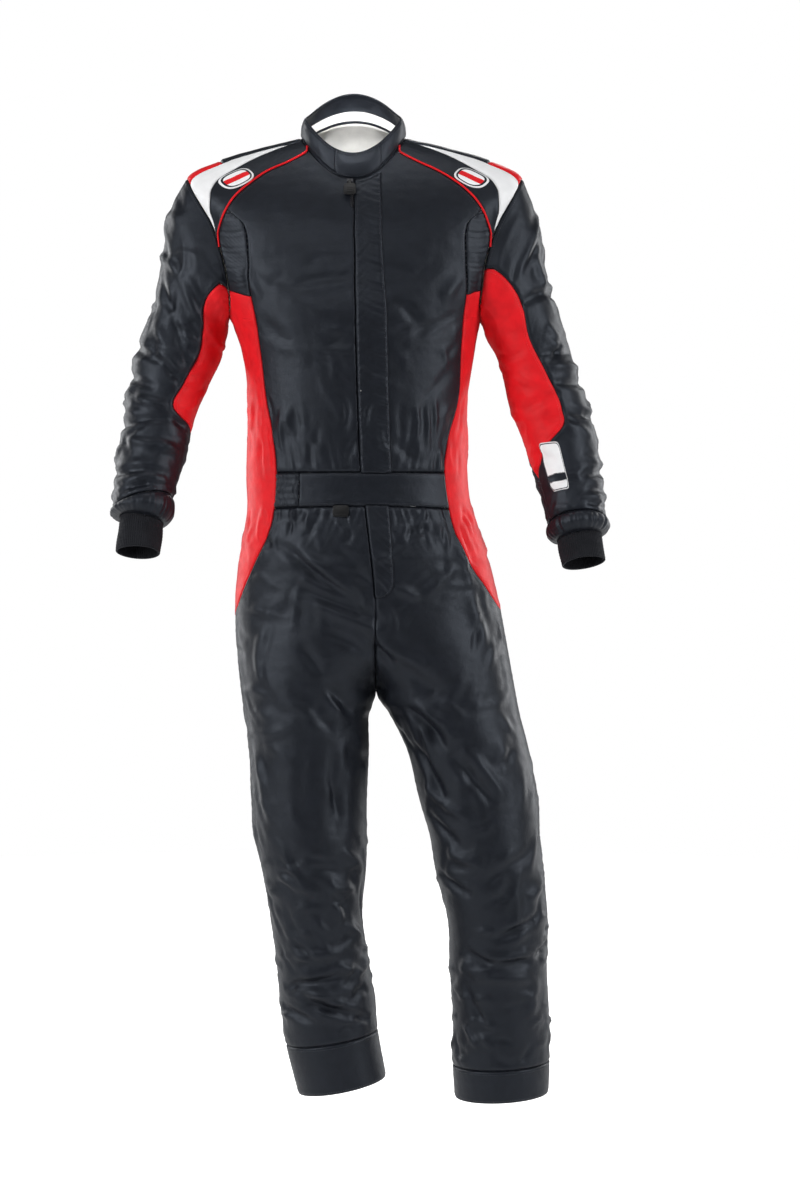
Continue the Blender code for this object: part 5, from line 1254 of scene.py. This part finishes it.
def shoulder_pieces(side):
    """Strap, its red end, the white panels and the yoke."""
    strap = panel("body", side, mirrored(STRAP_EDGE), STRAP_EDGE, NECK, STRAP_END)
    across = strap.distance("first") / strap.across[:, -1:]
    strap.height = STRAP_CROWN * np.sin(math.pi * across) ** 0.8
    sew(strap, first="join", last="join", top="plain", bottom="top")
    cloth_piece(side_name("shoulder_strap", side), [strap], "black")

    corner, low_corner = STRAP_EDGE(side, SHOULDER_POINT), STRAP_EDGE(side, TIP_LEVEL)
    tip_levels = even_levels("body", side, mirrored(STRAP_EDGE), STRAP_EDGE, STRAP_END, SHOULDER_POINT)
    stops = np.linspace(0, 1, TIP_COLUMNS + 1)
    tip = stretch("body", side, mirrored(STRAP_EDGE), STRAP_EDGE, tip_levels, stops)
    share = np.linspace(0, 1, END_ROWS)[:, None]
    angles = (2 * stops - 1) * (corner * (1 - share) + low_corner * share)
    sine = np.clip(np.abs(angles) / ARMHOLE_ANGLE, 0, 1) ** (1 / ARMHOLE_SHAPE)
    on_armhole = np.degrees(np.arcsin(sine))
    drop = (1 - np.cos(np.radians(on_armhole))) / 2 * (ARMPIT - SHOULDER_POINT)
    end = Stretch("body", side, angles, SHOULDER_POINT + drop * share)
    sew(tip, first="join", last="join", top="join")
    sew(end, first="join", last="join", bottom="plain")
    cloth_piece(side_name("strap_end", side), [tip, end], "red")

    white_edges = {
        "front": (STRAP_EDGE, WHITE_EDGE),
        "back": (mirrored(WHITE_EDGE), mirrored(STRAP_EDGE)),
    }
    for name, edges in white_edges.items():
        white = panel("body", side, *edges, WHITE_START, WHITE_END, FINE_CELL)
        sew(white, first="narrow", last="narrow")
        cloth_piece(side_name(f"white_panel_{name}", side), [white], "white")

    yoke = panel("body", side, WHITE_EDGE, PIPING_EDGE, NECK, PIPING_END, FINE_CELL)
    sew(yoke, first="join", last="join", top="plain")
    cloth_piece(side_name("yoke", side), [yoke], "black")


def round_cord(name, points, radius, color):
    """A covered cord through points given in millimetres."""
    curve = bpy.data.curves.new(name, "CURVE")
    curve.dimensions, curve.bevel_depth, curve.bevel_resolution = "3D", radius * MM, 3
    curve.use_fill_caps = True
    spline = curve.splines.new("POLY")
    spline.points.add(len(points) - 1)
    for knot, point in zip(spline.points, points):
        knot.co = (*(point * MM), 1)
    curve.materials.append(CLOTH[color])
    made = placed(name, curve)
    declare(made)
    return made


def piping(side):
    """The cord along the yoke's seam."""
    levels = even_levels("body", side, PIPING_EDGE, PIPING_EDGE, NECK, PIPING_END, CORD_CELL)
    angles = np.array([PIPING_EDGE(side, v) for v in levels])
    line = Stretch("body", side, angles[:, None], levels[:, None])
    points = (line.base + line.normals * (line.large[..., None] + PIPING_LIFT))[:, 0]
    made = round_cord(side_name("piping_cord", side), points, PIPING_RADIUS, "red")
    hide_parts(side_name("piping", side))


# ---------------------------------------------------------------- pieces of the trunk
def lifted(cloth, lift):
    """Raises a stretch off the surface, where it lies on another piece."""
    cloth.height = cloth.height + lift
    return cloth


def gathers(cloth):
    """Even gathers across a strip: ridges that run from side to side."""
    s = cloth.down + GATHER_SLANT * cloth.across
    ridges = wobble(s, GATHER_WAVE, 11) * 0.9 + 0.3 * np.sin(2 * math.pi * s / GATHER_WAVE)
    edge = np.minimum(cloth.distance("first"), cloth.distance("last"))
    cloth.height = cloth.height + GATHER_HEIGHT * ridges * (1 - 0.4 * np.exp(-edge / 4))


def elastic(cloth):
    """An elastic band: channels that run along it, shirred by fine tucks across them."""
    share = cloth.down / cloth.down[-1:]
    ribs = np.abs(np.sin(math.pi * ELASTIC_CHANNELS * share)) ** 0.7
    tucks = wobble(cloth.distance("last") + TUCK_SWAY * np.sin(share * TUCK_SWAYS), TUCK_WAVE, 3)
    cloth.height = cloth.height + ELASTIC_HEIGHT * (ribs - 0.5 + 0.5 * tucks * ribs)
    return cloth


def trunk_pieces():
    """Fronts, gathered strips, the flap over the zip, the back and the lining behind the neck."""
    for side in (RIGHT, LEFT):
        front = panel("body", side, FRONT_EDGE, middle_edge, NECK, BELT_TOP)
        front.small = front.small + fold_height(front.base, GROOVES)
        sew(front, first="top", last="join", top="plain", bottom="gather")
        cloth_piece(side_name("front", side), [front], "black")
        strip = panel("body", side, PIPING_EDGE, FRONT_EDGE, SHOULDER_POINT, GUSSET_TOP, FINE_CELL)
        gathers(strip)
        sew(strip, first="join", last="join")
        cloth_piece(side_name("armhole_strip", side), [strip], "black")

    flap = panel("body", LEFT, flap_edge, middle_edge, FLAP_TOP, BELT_TOP, FINE_CELL)
    lifted(flap, FLAP_LIFT)
    sew(flap, first="placket", last="placket")
    cloth_piece("zip_flap", [flap], "black", thickness=FLAP_SHELL)

    levels = even_levels("body", LEFT, BACK_EDGE, back_middle_edge, NECK, BELT_TOP)
    stops = column_stops("body", LEFT, BACK_EDGE, back_middle_edge, levels)
    halves = [stretch("body", side, BACK_EDGE, back_middle_edge, levels, stops) for side in (RIGHT, LEFT)]
    for half in halves:
        sew(half, first="top", top="plain", bottom="gather")
    cloth_piece("back", halves, "black")

    levels = even_levels("body", LEFT, BACK_EDGE, back_middle_edge, NECK, LINING_END, LINING_CELL)
    halves = [stretch("body", side, BACK_EDGE, back_middle_edge, levels, stops) for side in (RIGHT, LEFT)]
    for half in halves:
        half.height = half.height - LINING_DEPTH + half.small
    cloth_piece("neck_lining", halves, "lining", thickness=LINING_SHELL)


def gusset(side):
    """The red side panel, which forks round the armhole and ends in a point on the hip."""
    levels = even_levels("body", side, side_line, FRONT_EDGE, ARMPIT, HIP_TIP - 0.02)
    stops = column_stops("body", side, side_line, FRONT_EDGE, levels)
    stretches = []
    for edge, sign, top in ((FRONT_EDGE, 1, GUSSET_TOP), (BACK_EDGE, -1, GUSSET_BACK_TOP)):

        def inner(s, v, sign=sign):
            return sign * armhole_edge(s, v)

        stretches.append(sew(stretch("body", side, side_line, edge, levels, stops), last="top"))
        fork = even_levels("body", side, inner, edge, top, ARMPIT)
        stretches.append(sew(stretch("body", side, inner, edge, fork, stops), first="plain", last="top"))
    cloth_piece(side_name("side_gusset", side), stretches, "red")


def belt_pieces():
    """The belt across the front, its elastic at the right, and the elastic behind."""
    levels = even_levels("body", LEFT, FRONT_EDGE, middle_edge, BELT_TOP, BELT_BOTTOM, FINE_CELL)

    def elastic_end(side, v):
        return FRONT_EDGE(side, v) * (1 - ELASTIC_SHARE) + middle_edge(side, v) * ELASTIC_SHARE

    stops = column_stops("body", RIGHT, FRONT_EDGE, elastic_end, levels, TUCK_CELL)
    short = stretch("body", RIGHT, FRONT_EDGE, elastic_end, levels, stops)
    sew(elastic(lifted(short, BELT_LIFT)), first="join", last="join", top="join", bottom="join")
    cloth_piece("belt_elastic_front", [short], "elastic", thickness=BAND)

    stretches = []
    for side, first in ((RIGHT, elastic_end), (LEFT, FRONT_EDGE)):
        stops = column_stops("body", side, first, middle_edge, levels, BELT_CELL)
        band = lifted(stretch("body", side, first, middle_edge, levels, stops), BELT_LIFT)
        stretches.append(sew(band, first="join", top="free", bottom="free"))
    cloth_piece("belt_front", stretches, "black", thickness=BAND)

    halves = []
    for side in (RIGHT, LEFT):
        stops = column_stops("body", side, BACK_EDGE, back_middle_edge, levels, BACK_TUCK_CELL)
        half = stretch("body", side, BACK_EDGE, back_middle_edge, levels, stops)
        elastic(lifted(half, BELT_LIFT))
        halves.append(sew(half, first="join", top="join", bottom="join"))
    cloth_piece("belt_elastic_back", halves, "elastic", thickness=BAND)


# ---------------------------------------------------------------- pieces of the legs
def leg_pieces(side):
    """Front and back of a leg, and the band round its hem."""
    for name, edges in {"front": (FRONT_EDGE, middle_edge), "back": (BACK_EDGE, back_middle_edge)}.items():
        leg = panel("body", side, *edges, BELT_BOTTOM, HEM_SEAM)
        sew(leg, first="top", last="plain", top="gather", bottom="plain")
        cloth_piece(side_name(f"leg_{name}", side), [leg], "black")

    levels = even_levels("body", side, side_line, middle_edge, HEM_SEAM, HEM, FINE_CELL)
    stops = column_stops("body", side, side_line, middle_edge, levels)
    bands = []
    for last in (middle_edge, back_middle_edge):
        band = stretch("body", side, side_line, last, levels, stops)
        bands.append(sew(band, top="top", bottom="free"))
    cloth_piece(side_name("hem_band", side), bands, "black")


def fly():
    """The fly's placket, on the left front."""
    levels = even_levels("body", LEFT, flap_edge, middle_edge, BELT_BOTTOM, FLY_BOTTOM, FINE_CELL)
    stops = column_stops("body", LEFT, fly_edge, middle_edge, levels, FINE_CELL)
    piece = lifted(stretch("body", LEFT, fly_edge, middle_edge, levels, stops), FLY_LIFT)
    sew(piece, first="placket", last="join", bottom="join")
    cloth_piece("fly", [piece], "black", thickness=FLY_SHELL)


# ---------------------------------------------------------------- pieces of the sleeves
def under_front(side, v):
    return under_edge(side, v, ("front", "back"), UNDER_SLEEVE_TOP[side][0])


def under_back(side, v):
    return under_edge(side, v, ("back", "front"), UNDER_SLEEVE_TOP[side][1])


def under_edge(side, v, names, top):
    """Edge of the under sleeve, from its corner on the armhole to the point where both its edges meet."""
    edge, facing = (UNDER_SLEEVE[f"{SIDE_WORD[side]}_{name}"] for name in names)
    angle = float(smooth(UNDER_SLEEVE["level"], edge, max(v, UNDER_START)))
    if v < UNDER_START:
        share = v / UNDER_START
        angle = top * (1 - share) + angle * share
    if v <= UNDER_SLEEVE_END[side] - UNDER_POINT:
        return angle
    other = float(smooth(UNDER_SLEEVE["level"], facing, v))
    share = min((v - UNDER_SLEEVE_END[side] + UNDER_POINT) / UNDER_POINT, 1)
    return angle * (1 - share) + (angle + other) / 2 * share


def round_back(side, v):
    return under_back(side, v) - 360


def sleeve_pieces(side):
    """Under sleeve and top sleeve. Below the under sleeve's point the top sleeve meets itself."""
    under = panel("sleeve", side, under_front, under_back, 0, UNDER_SLEEVE_END[side] - 0.01)
    sew(under, first="top", last="top", top="gather")
    cloth_piece(side_name("under_sleeve", side), [under], "red")
    top = panel("sleeve", side, round_back, under_front, 0, WRIST)
    sew(top, first="plain", last="plain", top="top", bottom="gather")
    cloth_piece(side_name("top_sleeve", side), [top], "black")


def arm_axes(side):
    """Middle of the sleeve's last ring, and the directions along the arm, across it and to its front."""
    ring = sleeve_ring(side, np.array([0.0, 90, 180, 270]), np.full(4, WRIST))
    above = sleeve_ring(side, np.array([0.0, 180]), np.full(2, WRIST - 1)).mean(axis=0)
    middle = ring.mean(axis=0)
    along = unit(middle - above)
    across = unit((ring[0] - ring[2]) - (ring[0] - ring[2]) @ along * along)
    forward = unit(ring[1] - ring[3] - (ring[1] - ring[3]) @ along * along)
    return middle, along, across, forward


def oval(across, forward, radians):
    """The cuff's plain oval round the middle of the arm."""
    wide = across * KNIT_HALF_WIDTH * np.cos(radians)[:, None]
    return wide + forward * KNIT_HALF_DEPTH * np.sin(radians)[:, None]


def tube(node, side, middle, rows, looks):
    """A tube from its rings, with its faces turned away from its middle."""
    rows = np.array(rows)
    faces = grid_faces(rows.shape[:2], 0, side == LEFT, closed=True)
    made = mesh_of(f"cloth_{side_name(node, side)}", rows.reshape(-1, 3), faces, looks)
    face = made.data.polygons[len(faces) // 4]
    if (face.center - Vector(middle * MM)).dot(face.normal) < 0:
        made.data.flip_normals()
    return made


def wrist_casing(side):
    """The casing at the sleeve's end, gathered in over the cuff."""
    middle, along, across, forward = arm_axes(side)
    turns = np.linspace(0, 360, CASING_COLUMNS, endpoint=False)
    ring = sleeve_base(side, turns, np.full(len(turns), WRIST))
    radians = np.radians(turns)
    slant = ((ring - middle) @ along)[:, None] * along
    outward = unit(ring - middle - slant)
    ring_reach = np.linalg.norm(ring - middle - slant, axis=1)
    mouth = np.linalg.norm(oval(across, forward, radians), axis=1) + MOUTH_GAP
    pleats = wobble(turns, 360 / CASING_PLEATS, 7 + side) + 0.35 * np.sin(radians * CASING_PLEATS)
    rows = []
    stops = np.linspace(0, 1, len(CASING["along"]))
    for t in np.linspace(0, 1, CASING_ROWS):
        distance, out, closing = (float(smooth(stops, CASING[name], t)) for name in CASING)
        closing = min(max(closing, 0), 1)
        reach = (ring_reach + out) * (1 - closing) + mouth * closing
        fold = CASING_FOLD * pleats * math.sin(math.pi * min(t * 1.05, 1)) ** 0.6
        sunk = -CASING_SEAM * math.exp(-((distance / CASING_SEAM_WIDTH) ** 2))
        centre = middle + along * distance + slant * (1 - distance / KNIT_TOP)
        rows.append(centre + outward * (reach + fold + sunk)[:, None])
    rows.append(rows[-1] - along * CASING_INSIDE + outward * 0.5)
    made = tube("wrist_casing", side, middle, rows, ["black", "lining"])
    thicken(made, CASING_SHELL, material_offset=1)
    declare(made, side_name("wrist_casing", side))


def knit_cuff(side):
    """The ribbed cuff, which goes up inside the casing."""
    middle, along, across, forward = arm_axes(side)
    radians = np.radians(np.linspace(0, 360, KNIT_RIBS * KNIT_RIB_POINTS, endpoint=False))
    plain = oval(across, forward, radians)
    out = unit(plain)
    rib = np.abs(np.cos(radians * KNIT_RIBS / 2)) ** 0.6
    rows = []
    length = KNIT_END[side] - KNIT_TOP
    for distance, inset in knit_section(length):
        sway = 0.9 * np.sin(radians * 2 + distance / 17 + side) + 0.7 * np.sin(radians * 3 - distance / 11)
        sway = sway * math.sin(math.pi * min(distance / length, 1) * 0.8)
        rings = 0.25 * math.sin(distance * 2 * math.pi / KNIT_COURSE)
        centre = middle + along * (KNIT_TOP + distance) + plain
        rows.append(centre + out * (KNIT_RIB_HEIGHT * rib - inset + sway + rings)[:, None])
    made = tube("knit_cuff", side, middle, rows, ["knit"])
    declare(made, side_name("knit_cuff", side))


def knit_section(length):
    """The cuff's section: down outside, round the end and up inside, as (distance along, inset)."""
    start = length - KNIT_EDGE
    outside = [(distance, 0.0) for distance in np.arange(-KNIT_HIDDEN, start, KNIT_STEP)]
    end = [
        (start + KNIT_EDGE * math.sin(turn), KNIT_EDGE * (1 - math.cos(turn)))
        for turn in np.linspace(0, math.pi, 7)
    ]
    back = np.arange(length - 2 * KNIT_EDGE, 4, -3 * KNIT_STEP)
    return outside + end + [(distance, 2 * KNIT_EDGE) for distance in back]


# ---------------------------------------------------------------- collar
def collar_pieces():
    """The stand collar, black inside too, and its overlap in front."""
    heights = np.linspace(0, 1, COLLAR_ROWS + 1)[:, None]
    stretches = []
    for side in (RIGHT, LEFT):
        angles = np.linspace(-90, 90, COLLAR_COLUMNS + 1)[None]
        half = Stretch("collar", side, angles, heights)
        along = half.across + COLLAR_FOLD_SLANT * half.down
        folds = COLLAR_FOLD * wobble(along, COLLAR_FOLD_WAVE, 21 + side)
        half.height = half.height + folds * np.cos(np.radians(angles))
        stretches.append(sew(half, top="plain", bottom="free"))
    lined = slice(0, COLLAR_LINED_ROWS)
    cloth_piece("collar", stretches, "black", "black", COLLAR_SHELL, lined_rows=lined)
    right, left = (half.base[0] - half.normals[0] * NECK_CORD_DEPTH for half in stretches)
    line = np.concatenate([right, left[-2::-1]]) - [0, 0, NECK_CORD_DROP]
    round_cord("neck_cord", line, NECK_CORD_RADIUS, "black")

    flaps = []
    for side, end in ((RIGHT, "first"), (LEFT, "last")):
        angles = np.linspace(*COLLAR_FLAP[side])[None]
        flap = lifted(Stretch("collar", side, angles, heights), COLLAR_FLAP_LIFT)
        flaps.append(sew(flap, top="narrow", bottom="free", **{end: "free"}))
    cloth_piece("collar_flap", flaps, "black", "black", FLAP_SHELL)


# ---------------------------------------------------------------- patches
def patch(node, kind, side, outline, edge_width, bands):
    """A sewn-on patch with a round-cornered outline and bands of colour, following the cloth under it."""
    angle, level, half_angle, half_level = PATCH[node]
    inner = 1 - edge_width
    rings = np.concatenate([np.linspace(0, inner, PATCH_RINGS), [1 - edge_width / 2, 1.0]])
    turns = np.linspace(0, 2 * math.pi, PATCH_TURNS, endpoint=False)
    corner = (np.abs(np.cos(turns)) ** outline + np.abs(np.sin(turns)) ** outline) ** (-1 / outline)
    u = rings[:, None] * (np.cos(turns) * corner)
    v = rings[:, None] * (np.sin(turns) * corner)
    cloth = Stretch(kind, side, angle + half_angle * u, level + half_level * v)
    rise = np.where(rings < 1, PATCH_LIFT, PATCH_LIFT - PATCH_SHELL) + np.where(rings > inner, PATCH_EDGE, 0)
    points = cloth.base + cloth.normals * (cloth.large + cloth.small + rise[:, None])[..., None]
    faces = grid_faces(points.shape[:2], 0, True, closed=True)
    across = u if kind == "body" else v
    across = (across[:-1] + across[1:]) / 2
    slots = np.zeros(across.shape, int)
    for low, high, color in bands:
        slots[(across > low) & (across < high)] = color
    slots[PATCH_RINGS - 1 :] = [[2], [0]]  # a dark line, then a white rim
    made = mesh_of(f"patch_{node}", points.reshape(-1, 3), faces, PATCH_COLORS, slots.ravel())
    if (made.data.polygons[3].normal @ Vector(cloth.normals[0, 0])) < 0:
        made.data.flip_normals()
    weld(made, 0.01)
    thicken(made, PATCH_SHELL)
    declare(made, node)


# ---------------------------------------------------------------- zip, its tab and the belt's tab
def tab_frame():
    """Pin of the zip's tab, and the directions across, out and down its face at rest."""
    pin = np.array(frame["record"]["behaviour"]["joints"][0]["pos_m"]) / MM
    normal = body_normal(RIGHT, *np.array(TAB_PLACE)[:, None])[0]
    lean = math.atan2(normal[2], -normal[1])
    out = np.array([0, -math.cos(lean), math.sin(lean)])
    down = np.array([0, -math.sin(lean), -math.cos(lean)])
    return pin, np.array([1.0, 0, 0]), out, down


def plate(name, outline, thickness, round_by, place, axes):
    """A flat moulded piece from its half outline, as (half width, drop) rows, rounded at its edges."""
    across, out, down = axes
    points = []
    for face in (-0.5, 0.5):
        for half, drop in outline + [(-half, drop) for half, drop in reversed(outline)]:
            points.append(place + across * half + down * drop + out * thickness * face)
    ring = 2 * len(outline)
    faces = [list(range(ring))[::-1], [ring + k for k in range(ring)]]
    faces += [[k, (k + 1) % ring, ring + (k + 1) % ring, ring + k] for k in range(ring)]
    made = mesh_of(name, np.array(points), faces, ["rubber"])
    face_outward(made)
    bevel = made.modifiers.new("round", "BEVEL")
    bevel.width, bevel.segments, bevel.limit_method = round_by * MM, 3, "ANGLE"
    return made


def plates(rows, place, axes, node, body):
    """The plates of a tab. The first of them stands for the tab's solid."""
    for name, (outline, thickness, lift, round_by) in rows.items():
        made = plate(name, outline, thickness, round_by, place + axes[1] * lift, axes)
        declare(made, node, body)
        node = None


def zip_pieces():
    """The tab with its grip, the slider's finish and the teeth."""
    pin, *axes = tab_frame()
    plates(TAB_PLATES, pin, axes, "zip_pull_tab", "pull_tab")
    frame["nodes"]["zip_slider"].material_slots[0].material = CLOTH["metal"]
    teeth()


def teeth():
    """Coil of the zip, from the slider down behind the flap."""
    levels = even_levels("body", RIGHT, middle_edge, middle_edge, TEETH_TOP, TEETH_END, TOOTH_PITCH)
    corners = [(-TOOTH_WIDTH, -TOOTH_LENGTH), (TOOTH_WIDTH, -TOOTH_LENGTH)]
    corners += [(-u, -v) for u, v in corners]
    rings = [(3, 2, 1, 0), (4, 5, 6, 7), (0, 1, 5, 4), (1, 2, 6, 5), (2, 3, 7, 6), (3, 0, 4, 7)]
    across = np.array([1.0, 0, 0])
    points, faces = [], []
    for index, level in enumerate(levels):
        side = RIGHT if index % 2 else LEFT
        place = np.array([TEETH_ANGLE]), np.array([level])
        base, normal = body_base(RIGHT, *place)[0], body_normal(RIGHT, *place)[0]
        down = unit(np.cross(normal, across))
        middle = base + across * side * TOOTH_ASIDE + normal * TOOTH_LIFT
        start = len(points)
        for high, share in ((-TOOTH_HEIGHT, 1), (TOOTH_HEIGHT, TOOTH_TAPER)):
            points += [middle + across * u * share + down * v + normal * high for u, v in corners]
        faces += [tuple(start + k for k in ring) for ring in rings]
    made = mesh_of("zip_teeth", np.array(points), faces, ["metal"])
    face_outward(made)
    declare(made)


def belt_tab():
    """The moulded tab on the belt, with a bar along its lower edge."""
    angle, level = PATCH["belt_tab"][:2]
    place = Stretch("body", RIGHT, [[angle]], [[level]])
    normal = place.normals[0, 0]
    across = unit(np.cross(normal, [0, 0, 1.0]))
    across = across if across[0] > 0 else -across
    down = np.array([0, 0, -1.0])
    down = unit(down - (down @ normal) * normal)
    where = place.base[0, 0] + normal * (place.large[0, 0] + BELT_TAB_LIFT)
    plates(BELT_TAB_PLATES, where, (across, normal, down), "belt_tab", "suit")


# ---------------------------------------------------------------- studio
FLOOR, FLOOR_RADIUS, FLOOR_GLOW, WORLD_LIGHT = -1.6, 3.5, 0.7, 0.06
CAMERA_PLACE, CAMERA_DOWN, CAMERA_LENS = (0.069, -4.489, -0.368), 4, 90  # metres, degrees, millimetres
LAMPS = [  # name, place, aim and size in metres, watts, spread in degrees
    ("side_left", (-2.3, -1.5, 0.1), (-0.1, 0, -0.6), (0.6, 2.4), 60, 180),
    ("side_right", (2.3, -1.3, 0.1), (0.2, 0, -0.6), (0.5, 2.4), 50, 180),
    ("rim_left", (-1.9, 1.5, -0.3), (-0.1, 0, -0.7), (0.6, 2.2), 30, 180),
    ("rim_right", (2.0, 1.5, -0.3), (0.2, 0, -0.7), (0.6, 2.2), 30, 180),
    ("front", (-0.5, -3.6, 1.4), (0.05, 0, -0.7), (1.4, 1.0), 27, 180),
    ("behind", (0.6, 3.6, 1.2), (0.05, 0, -0.7), (1.4, 1.0), 40, 180),
    ("top", (0, -0.4, 2.4), (0, 0, -0.3), (2.0, 1.0), 22, 180),
    ("neck", (0, -1.2, 0.6), (0, 0.06, 0.02), (0.12, 0.12), 0.13, 11),
]


def lamp(name, place, aim, size, power, spread):
    light = bpy.data.lights.new(name, "AREA")
    light.shape, light.size, light.size_y = "RECTANGLE", size[0], size[1]
    light.energy, light.spread = power, math.radians(spread)
    made = placed(name, light)
    made.location = place
    made.rotation_euler = (Vector(aim) - Vector(place)).to_track_quat("-Z", "Y").to_euler()


def seen_only(tree, light, seen, socket):
    """A brightness that the surroundings have where they are seen, and another for the light they cast."""
    strength = tree.nodes.new("ShaderNodeMapRange")
    strength.inputs["To Min"].default_value, strength.inputs["To Max"].default_value = light, seen
    tree.links.new(tree.nodes.new("ShaderNodeLightPath").outputs["Is Camera Ray"], strength.inputs["Value"])
    tree.links.new(strength.outputs["Result"], socket)


def studio():
    """Pale round floor, white surroundings, soft lamps, and the camera at the photograph's angle."""
    mesh = bmesh.new()
    bmesh.ops.create_circle(mesh, cap_ends=True, segments=96, radius=FLOOR_RADIUS)
    data = bpy.data.meshes.new("floor")
    mesh.to_mesh(data)
    mesh.free()
    paper, tree, shader = principled("paper", (0.9, 0.9, 0.9), 0.95, Specular_IOR_Level=0.1)
    shader.inputs["Emission Color"].default_value = (1, 1, 1, 1)
    seen_only(tree, 0, FLOOR_GLOW, shader.inputs["Emission Strength"])
    data.materials.append(paper)
    floor = placed("floor", data)
    floor.location = (0, 0, FLOOR)

    for settings in LAMPS:
        lamp(*settings)
    world = bpy.data.worlds.new("studio")
    world.use_nodes = True
    tree = world.node_tree
    tree.nodes["Background"].inputs["Color"].default_value = (1, 1, 1, 1)
    seen_only(tree, WORLD_LIGHT, 1.0, tree.nodes["Background"].inputs["Strength"])
    bpy.context.scene.world = world
    bpy.context.scene.view_settings.view_transform = "Standard"

    camera = bpy.data.cameras.new("camera")
    camera.lens, camera.sensor_width, camera.sensor_fit = CAMERA_LENS, 36, "AUTO"
    camera.clip_start, camera.clip_end = 0.05, 60
    made = placed("camera", camera)
    made.location = CAMERA_PLACE
    made.rotation_euler = (math.radians(90 - CAMERA_DOWN), 0, 0)
    bpy.context.scene.camera = made


def threads():
    """All stitches of a colour as one piece."""
    for color, (points, faces) in THREADS.items():
        made = mesh_of(f"stitches_thread_{color}", np.array(points), faces, [f"thread_{color}"])
        declare(made)


def main():
    for side in (RIGHT, LEFT):
        shoulder_pieces(side)
        piping(side)
        gusset(side)
        leg_pieces(side)
        sleeve_pieces(side)
        wrist_casing(side)
        knit_cuff(side)
    trunk_pieces()
    fly()
    belt_pieces()
    collar_pieces()
    for side in (RIGHT, LEFT):
        patch(side_name("shoulder_badge", side), "body", side, *BADGE)
    patch("sleeve_label", "sleeve", LEFT, *LABEL)
    zip_pieces()
    belt_tab()
    threads()
    studio()


main()
